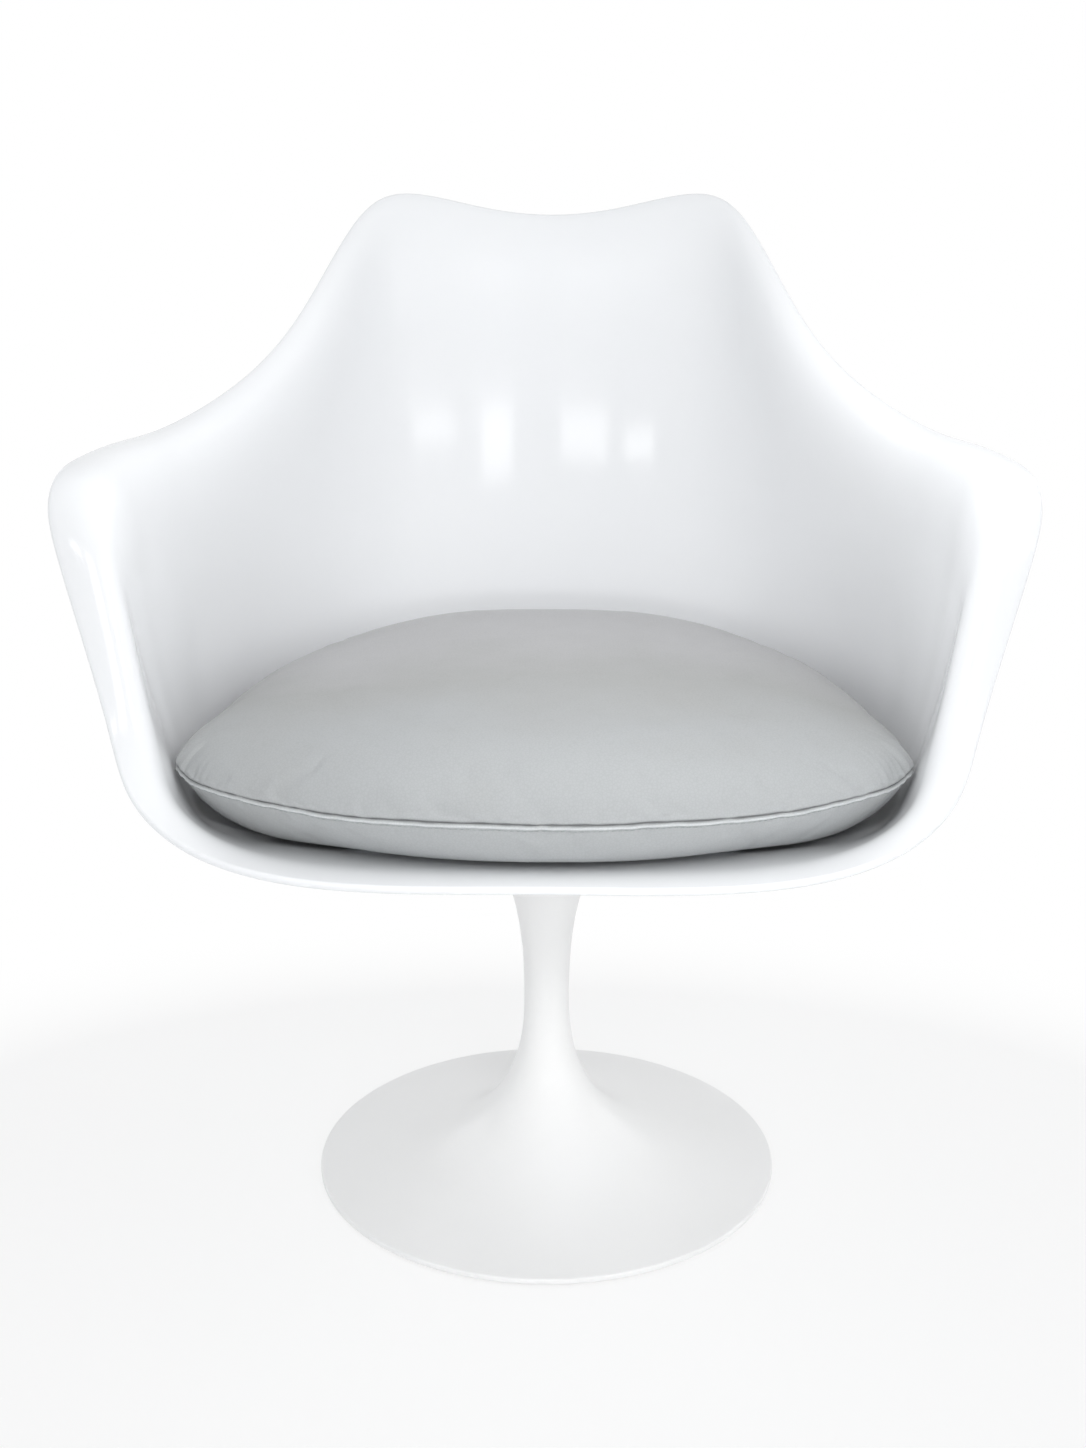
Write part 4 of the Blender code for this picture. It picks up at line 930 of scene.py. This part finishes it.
def make_cushion(pan, materials):
    """The leather cushion with its seam, puckers and corners, and the stitches under the seam."""
    form = CushionForm(pan)
    top, top_distance = form.panel(form.top_section())
    under, under_distance = form.panel(form.under_section())
    to_corner = form.distance_to_corner()
    ear = bell(to_corner, EAR_REACH)
    outward = unit(np.column_stack([form.outline - form.middle, np.zeros(CUSHION_COLUMNS)]))
    shift = outward * (ear * EAR_OUT)[:, None]
    shift[:, 2] = waves(form.along, SEAM_WAVES) + ear * EAR_UP
    for points, distance in ((top, top_distance), (under, under_distance)):
        fade = bell(distance, EAR_DEPTH)
        points += shift[None] * fade[..., None]

    near_corner = bell(to_corner, PUCKER_REACH)
    top_shift, under_shift = filled_shifts(top, under, top_distance, under_distance)
    top = top + top_shift
    under = under + under_shift
    top_normals = grid_normals(top, 1)
    under_normals = grid_normals(under, -1)
    pleats = waves(form.along, PUCKER_WAVES)

    def puckers(distance, height, length):
        """Puckers that start beside the seam and fade away from it."""
        return height * pleats * np.exp(-distance / length) * smooth_step(distance, 0.0, PUCKER_START)

    top_lift = (
        -GROOVE_DEPTH * bell(top_distance, GROOVE_WIDTH)
        + puckers(top_distance, TOP_PUCKER_HEIGHT * near_corner, PUCKER_LENGTH)
        + puckers(top_distance, RIPPLE_HEIGHT, RIPPLE_LENGTH)
        + CORNER_FULLNESS * bell(to_corner, CORNER_REACH) * smooth_step(top_distance, 0.0, CORNER_RISE)
        * (1 - smooth_step(top_distance, CORNER_RISE, CORNER_FALL))
    )
    ridge = bell(under_distance - RIDGE_PLACE, RIDGE_WIDTH)
    between_stitches = (1 + np.cos(2 * math.pi * form.along / STITCH_PITCH)) / 2
    furrow = STITCH_FURROW * bell(under_distance - STITCH_PLACE, STITCH_FURROW_WIDTH)
    under_lift = (
        -GROOVE_DEPTH * bell(under_distance, GROOVE_WIDTH)
        + RIDGE_HEIGHT * ridge
        - furrow * (1 - STITCH_FURROW_WAVE_SHARE * between_stitches)
        + puckers(under_distance, UNDER_PUCKER_HEIGHT * near_corner, PUCKER_LENGTH)
    )
    top = top + top_normals * top_lift[..., None]
    under = under + under_normals * under_lift[..., None]

    mesh = mesh_from_rings("seat_cushion", thinned(top)[::-1] + thinned(under[1:]))
    # Painted shade along the seam groove on both panels and a painted highlight on the ridge under it, kept
    # as a point attribute
    top_seam_shade = bell(top_distance, SEAM_PAINTED_SHADE_WIDTH)
    under_seam_shade_and_highlight = bell(under_distance, SEAM_PAINTED_SHADE_WIDTH) - RIDGE_PAINTED_HIGHLIGHT * ridge
    line = thinned(top_seam_shade)[::-1] + thinned(under_seam_shade_and_highlight[1:])
    seam_light_attribute = mesh.attributes.new("painted_seam_light", "FLOAT", "POINT")
    seam_light_attribute.data.foreach_set("value", np.concatenate(line + [np.zeros(2)]))
    cushion = add_piece(
        "seat_cushion", mesh, "cushion", materials["leather"],
        ["cushion_top_panel", "cushion_under_panel", "cushion_foam_core"],
    )
    make_stitches(under, under_normals, under_distance, materials["thread"])


def thinned(rings):
    """The rings as a list, with every other point left out each time they come near the middle."""
    thin = []
    count = len(rings)
    for i, ring in enumerate(rings):
        share = 1 - i / count
        halvings = sum(share < limit for limit in HALVED_AT_SHARES)
        thin.append(ring[::2 ** halvings])
    return thin


def make_stitches(under, normals, distance, material):
    """The thread that shows under the seam, one short capsule for each stitch."""
    row = int(np.argmin(np.abs(distance[:, 0] - STITCH_PLACE)))
    line = under[row] + normals[row] * STITCH_RADIUS * STITCH_LIFT_SHARE
    line, ups = (np.vstack([values, values[:1]]) for values in (line, normals[row]))
    lengths = np.concatenate([[0.0], np.cumsum(np.linalg.norm(np.diff(line, axis=0), axis=1))])
    count = int(lengths[-1] / STITCH_PITCH)

    def at(places, values):
        """Values of the closed line at places along it."""
        return np.column_stack([np.interp(places % lengths[-1], lengths, column) for column in values.T])

    places = (np.arange(count) + 0.5) * lengths[-1] / count
    start = at(places - STITCH_LENGTH / 2, line)
    end = at(places + STITCH_LENGTH / 2, line)
    direction = unit(end - start)
    up = unit(at(places, ups))
    side = unit(np.cross(direction, up))
    turns = full_turn(STITCH_SIDES)[:, None]
    around = (up[:, None] * np.cos(turns) + side[:, None] * np.sin(turns)) * STITCH_RADIUS
    middle = ((start + end) / 2)[:, None]
    ahead = direction[:, None] * STITCH_LENGTH
    points = np.stack([middle + ahead * share + around * girth for share, girth in STITCH_SHARES], axis=1)

    first = np.arange(points.size // 3).reshape(points.shape[:3])
    after = np.roll(first, -1, axis=2)
    faces = np.stack([first[:, :-1], first[:, 1:], after[:, 1:], after[:, :-1]], axis=-1)
    mesh = bpy.data.meshes.new("seam_stitches")
    mesh.from_pydata(points.reshape(-1, 3).tolist(), [], faces.reshape(-1, 4).tolist())
    turn_outwards(mesh, TINY_LENGTH)
    mesh.shade_smooth()
    add_piece("seam_stitches", mesh, "cushion", material)


def make_discs(grid, materials):
    """Round, thin hook discs on the pan and loop discs on the cushion's underside, over the CAD ones."""
    surface = Pan(grid, 0.0)
    for kind, body, lift, thickness in (
        ("hook", "seat", TOUCH_GAP, HOOK_DISC_THICKNESS),
        ("loop", "cushion", 2 * TOUCH_GAP + HOOK_DISC_THICKNESS, LOOP_DISC_THICKNESS),
    ):
        for place in ("front_left", "front_right", "back_left", "back_right"):
            make_disc(f"{kind}_disc_{place}", surface, lift, thickness, body, materials[f"{kind}_tape"])


def make_disc(node, surface, lift, thickness, body, material):
    """One disc, laid along the pan, with a rounded edge."""
    low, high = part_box(node)
    x, y = (low[0] + high[0]) / 2, (low[1] + high[1]) / 2
    up = np.array(surface.hit(x, y)[1])
    side = unit(np.cross((0.0, 1.0, 0.0), up))
    ahead = np.cross(up, side)
    angles = full_turn(DISC_SEGMENTS)
    flat = DISC_RADIUS - DISC_EDGE_ROUND
    profile = [(flat * i / DISC_RINGS, thickness) for i in range(1, DISC_RINGS + 1)]
    profile += parabola(
        (flat, thickness), (DISC_RADIUS, thickness), (DISC_RADIUS, thickness - DISC_EDGE_ROUND),
        DISC_ROUND_POINTS,
    )[1:]
    profile += [(DISC_RADIUS * i / DISC_RINGS, 0.0) for i in range(DISC_RINGS, 0, -1)]
    rings = []
    for radius, height in profile:
        ring = []
        for angle in angles:
            away = side * math.cos(angle) * radius + ahead * math.sin(angle) * radius
            point, normal = surface.hit(x + away[0], y + away[1])
            ring.append(np.array(point) + np.array(normal) * (lift + height))
        rings.append(np.array(ring))
    add_piece(node.replace("disc", "pad"), mesh_from_rings(node, rings), body, material, [node])


class Nodes:
    """A small helper that builds the node tree of a material or of the world."""

    def __init__(self, owner, shader="Principled BSDF", output="Material Output", place="Object"):
        owner.use_nodes = True
        self.owner = owner
        self.tree = owner.node_tree
        self.shader = self.tree.nodes[shader]
        self.output = self.tree.nodes[output]
        self.place = self.add("ShaderNodeTexCoord").outputs[place]

    def add(self, kind, **settings):
        """A new node."""
        node = self.tree.nodes.new(kind)
        for key, value in settings.items():
            setattr(node, key, value)
        return node

    def join(self, value, socket):
        """Links another node's output to a socket, or gives the socket a plain value."""
        if isinstance(value, bpy.types.NodeSocket):
            self.tree.links.new(value, socket)
        else:
            socket.default_value = value

    def feed(self, node, **inputs):
        """Gives a node its inputs, with underscores for the spaces in their names."""
        for key, value in inputs.items():
            self.join(value, node.inputs[key.replace("_", " ")])
        return node

    def finished(self, **inputs):
        """The material, once its shader has these inputs."""
        self.feed(self.shader, **inputs)
        return self.owner

    def along(self, axis):
        """The place along one axis."""
        return self.feed(self.add("ShaderNodeSeparateXYZ"), Vector=self.place).outputs[axis]

    def noise(self, scale, detail=2.0):
        """A cloudy noise."""
        node = self.add("ShaderNodeTexNoise")
        return self.feed(node, Vector=self.place, Scale=scale, Detail=detail).outputs["Fac"]

    def cells(self, feature, **inputs):
        """A distance in a pattern of cells."""
        node = self.add("ShaderNodeTexVoronoi", feature=feature)
        return self.feed(node, Vector=self.place, **inputs).outputs["Distance"]

    def ramp(self, value, stops):
        """A value mapped through colour stops of (place, colour)."""
        node = self.feed(self.add("ShaderNodeValToRGB"), Fac=value)
        elements = node.color_ramp.elements
        for i, (place, color) in enumerate(stops):
            element = elements[i] if i < 2 else elements.new(place)
            element.position = place
            element.color = (*color, 1.0)
        return node.outputs["Color"]

    def ranged(self, value, low, high, from_low=0.0, from_high=1.0, kind="LINEAR"):
        """A value mapped to a range."""
        node = self.add("ShaderNodeMapRange", interpolation_type=kind)
        self.feed(node, Value=value, From_Min=from_low, From_Max=from_high, To_Min=low, To_Max=high)
        return node.outputs["Result"]

    def math(self, operation, *values):
        """The outcome of a sum on numbers or sockets."""
        node = self.add("ShaderNodeMath", operation=operation)
        for value, socket in zip(values, node.inputs):
            self.join(value, socket)
        return node.outputs["Value"]

    def bump(self, height, distance, strength=1.0, before=None):
        """A bump whose height is in metres, on top of the one before it."""
        node = self.feed(self.add("ShaderNodeBump"), Height=height, Distance=distance, Strength=strength)
        if before:
            self.feed(node, Normal=before)
        return node.outputs["Normal"]

    def seen(self):
        """One for rays from the camera, off gloss and through glass, and zero for all others."""
        rays = self.add("ShaderNodeLightPath").outputs
        seen = self.math("MAXIMUM", rays["Is Camera Ray"], rays["Is Glossy Ray"])
        return self.math("MAXIMUM", seen, rays["Is Transmission Ray"])

    def cover(self, shader, amount):
        """Mixes another shader over the tree's own one, by an amount from zero to one."""
        mix = self.feed(self.add("ShaderNodeMixShader"), Fac=amount)
        self.join(self.shader.outputs[0], mix.inputs[1])
        self.join(shader.outputs[0], mix.inputs[2])
        self.feed(self.output, Surface=mix.outputs["Shader"])


def new_look(name):
    """A new material's nodes."""
    return Nodes(bpy.data.materials.new(name))


def gelcoat():
    """High gloss white gelcoat with the faint waviness of a hand-laid moulding."""
    n = new_look("white_gelcoat")
    duller = n.ranged(n.along("Z"), 0.0, DULL_RIM_ROUGHNESS, *DULL_RIM_HEIGHTS, "SMOOTHERSTEP")
    waviness = n.bump(n.noise(11.0, 1.0), 0.00012)
    return n.finished(
        Base_Color=n.ramp(n.noise(4.0, 3.0), GELCOAT_TONES),
        Roughness=n.math("ADD", n.ranged(n.noise(9.0, 4.0), *GELCOAT_ROUGHNESS), duller),
        Normal=n.bump(n.noise(260.0, 1.0), 0.00002, before=waviness),
        IOR=1.5,
    )


def enamel():
    """Smooth white enamel on the cast pedestal."""
    n = new_look("white_enamel")
    return n.finished(
        Base_Color=n.ramp(n.noise(7.0, 3.0), ENAMEL_TONES),
        Roughness=n.ranged(n.noise(14.0, 4.0), *ENAMEL_ROUGHNESS),
        Normal=n.bump(n.noise(420.0), 0.00003),
        IOR=1.5,
        Coat_Weight=0.3,
        Coat_Roughness=0.12,
    )


def leather():
    """Grey-green leather: fine pebbled grain and pores, painted light and shade from front to back (darkest
    over the middle, lightest and greyer at the back), painted shade along the seam and a painted highlight on
    the ridge under it.
    """
    n = new_look("grey_green_leather")
    crease = n.ranged(n.cells("DISTANCE_TO_EDGE", Scale=420.0), 0.0, 1.0, 0.0, CREASE_WIDTH)
    grain = n.bump(n.cells("SMOOTH_F1", Scale=950.0, Smoothness=0.4), 0.0001, 0.5)
    folds = n.bump(crease, 0.00006, 0.35, before=grain)
    soft = n.bump(n.noise(60.0, 3.0), 0.0006, 0.35, before=folds)
    # Painted light and shade: the tones from front to back are darkest over the middle and lightest at the
    # back
    backwards = n.ranged(n.along("Y"), 0.0, 1.0, *LEATHER_PAINTED_LIGHT_SPAN)
    mottle = n.math("MULTIPLY", n.math("SUBTRACT", n.noise(9.0, 4.0), 0.5), LEATHER_MOTTLE_SHARE)
    tone = n.ramp(n.math("ADD", backwards, mottle), LEATHER_PAINTED_LIGHT_TONES)
    # Painted shade along the seam groove and a painted highlight on the ridge under it, from the cushion's
    # point attribute
    seam = n.add("ShaderNodeAttribute", attribute_name="painted_seam_light")
    dark = n.ranged(seam.outputs["Fac"], 2.0 - SEAM_PAINTED_SHADE, SEAM_PAINTED_SHADE, -1.0, 1.0)
    fine = n.math("MULTIPLY", n.ranged(crease, CREASE_SHADE, 1.0), dark)
    shade = n.add("ShaderNodeMix", data_type="RGBA", blend_type="MULTIPLY")
    n.feed(shade, Factor=1.0, A=tone, B=fine)
    return n.finished(
        Base_Color=shade.outputs["Result"],
        Roughness=n.ranged(n.noise(35.0, 4.0), *LEATHER_ROUGHNESS),
        Normal=n.bump(n.noise(2600.0), 0.00003, 0.4, before=soft),
        IOR=1.45,
    )


def thread():
    """The cushion's thread, a shade darker than the leather, with its twist."""
    n = new_look("seam_thread")
    return n.finished(
        Base_Color=n.ramp(n.noise(900.0), THREAD_TONES),
        Roughness=n.ranged(n.noise(1500.0), *THREAD_ROUGHNESS),
        Normal=n.bump(n.noise(4000.0), 0.0001, 0.5),
    )


def tape(name, color, pitch, height):
    """Fastener tape: rows of tiny hooks or loops on a woven ground."""
    n = new_look(name)
    tufts = n.cells("F1", Scale=1 / pitch, Randomness=TAPE_RANDOMNESS)
    dark = tuple(TAPE_SHADE * value for value in color)
    return n.finished(
        Base_Color=n.ramp(tufts, ((0.1, color), (0.8, dark))),
        Roughness=n.ranged(tufts, *TAPE_ROUGHNESS),
        Normal=n.bump(tufts, height),
    )


def plain_finish(name, low, high, roughness, metallic, scale, bump):
    """A finish with slight variation in colour and roughness and a fine surface texture."""
    n = new_look(name)
    return n.finished(
        Base_Color=n.ramp(n.noise(scale, 3.0), ((0.3, low), (0.7, high))),
        Roughness=n.ranged(n.noise(scale * 2, 3.0), roughness - ROUGHNESS_BELOW, roughness + ROUGHNESS_ABOVE),
        Normal=n.bump(n.noise(scale * 12), bump),
        Metallic=metallic,
    )


def make_materials():
    """The materials by slot."""
    materials = {"shell": gelcoat(), "casting": enamel(), "leather": leather(), "thread": thread()}
    for slot, look in TAPES.items():
        materials[slot] = tape(slot, *look)
    for slot, look in PLAIN_FINISHES.items():
        materials[slot] = plain_finish(*look)
    return materials


def finish_cad_nodes(materials):
    """Gives the CAD nodes that stay in view or inside the chair their finish."""
    slots = {part["node"]: part["material_slot"] for part in frame["record"]["subparts"]}
    for name, node in frame["nodes"].items():
        slot = slots.get(name)
        if slot in materials and name not in ("base_casting", "seat_shell"):
            node.data.materials.clear()
            node.data.materials.append(materials[slot])


def make_floor():
    """A pale floor that fades into the white background away from the chair, and keeps its shadow."""
    shape = bmesh.new()
    bmesh.ops.create_grid(shape, x_segments=2, y_segments=2, size=FLOOR_REACH)
    mesh = bpy.data.meshes.new("studio_floor")
    shape.to_mesh(mesh)
    shape.free()
    floor = placed("studio_floor", mesh)
    n = new_look("studio_floor")
    mapping = n.feed(
        n.add("ShaderNodeMapping"),
        Vector=n.place,
        Location=(0.0, FLOOR_SHADE_FORWARD * FLOOR_SHADE_SQUASH, 0.0),
        Scale=(1.0, FLOOR_SHADE_SQUASH, 1.0),
    )
    away = n.feed(n.add("ShaderNodeVectorMath", operation="LENGTH"), Vector=mapping.outputs["Vector"])
    far = n.ranged(away.outputs["Value"], 0.0, 1.0, *FLOOR_SHADE_SPAN, "SMOOTHERSTEP")
    amount = n.math("MULTIPLY", n.seen(), n.math("MAXIMUM", far, FLOOR_LIFT_SHARE))
    n.cover(n.add("ShaderNodeEmission"), amount)
    material = n.finished(Base_Color=FLOOR_COLOR, Roughness=FLOOR_ROUGHNESS, Specular_IOR_Level=0.0)
    mesh.materials.append(material)



def make_world():
    """An even studio fill that is plain white where it is seen or mirrored."""
    world = bpy.data.worlds.new("studio")
    bpy.context.scene.world = world
    n = Nodes(world, "Background", "World Output", "Generated")
    level = n.ranged(n.along("Y"), WORLD_LEVEL, WORLD_REAR_LEVEL, *WORLD_SPAN)
    n.feed(n.shader, Color=WORLD_COLOR, Strength=level)
    n.cover(n.feed(n.add("ShaderNodeBackground"), Color=WHITE), n.seen())


def make_lamps():
    """Soft boxes, each aimed at a point of the chair."""
    for name, place, aim, width, height, power, spread, mirrored_in_gloss in LAMPS:
        light = bpy.data.lights.new(name, "AREA")
        light.shape = "RECTANGLE"
        light.size = width
        light.size_y = height
        light.energy = power
        light.spread = math.radians(spread)
        lamp = placed(name, light)
        lamp.visible_glossy = mirrored_in_gloss
        lamp.visible_camera = False
        lamp.location = place
        lamp.rotation_euler = (Vector(aim) - Vector(place)).to_track_quat("-Z", "Y").to_euler()


def make_camera():
    """The photograph's viewpoint, a little to the right of the chair's middle plane."""
    data = bpy.data.cameras.new("photo_camera")
    data.sensor_width = SENSOR_LENGTH_MM
    data.lens = FOCAL_PIXELS / PHOTO_HEIGHT * SENSOR_LENGTH_MM
    camera = placed("photo_camera", data)
    camera.location = (
        CAMERA_DISTANCE * math.sin(CAMERA_TURN),
        -CAMERA_DISTANCE * math.cos(CAMERA_TURN),
        CAMERA_HEIGHT,
    )
    aside = math.atan((SWIVEL_AXIS_PIXEL - PHOTO_WIDTH / 2) / FOCAL_PIXELS)
    camera.rotation_euler = (math.pi / 2 - CAMERA_PITCH, 0.0, CAMERA_TURN + aside)
    bpy.context.scene.camera = camera


def main():
    """Builds the chair's visible pieces, their looks, the studio and the camera."""
    bpy.context.scene.view_settings.view_transform = "Standard"
    materials = make_materials()
    finish_cad_nodes(materials)
    make_base(materials["casting"])
    grid = ShellGrid()
    make_shell(grid, materials["shell"])
    make_cushion(Pan(grid, DISC_STACK), materials)
    make_discs(grid, materials)
    make_floor()
    make_world()
    make_lamps()
    make_camera()


main()
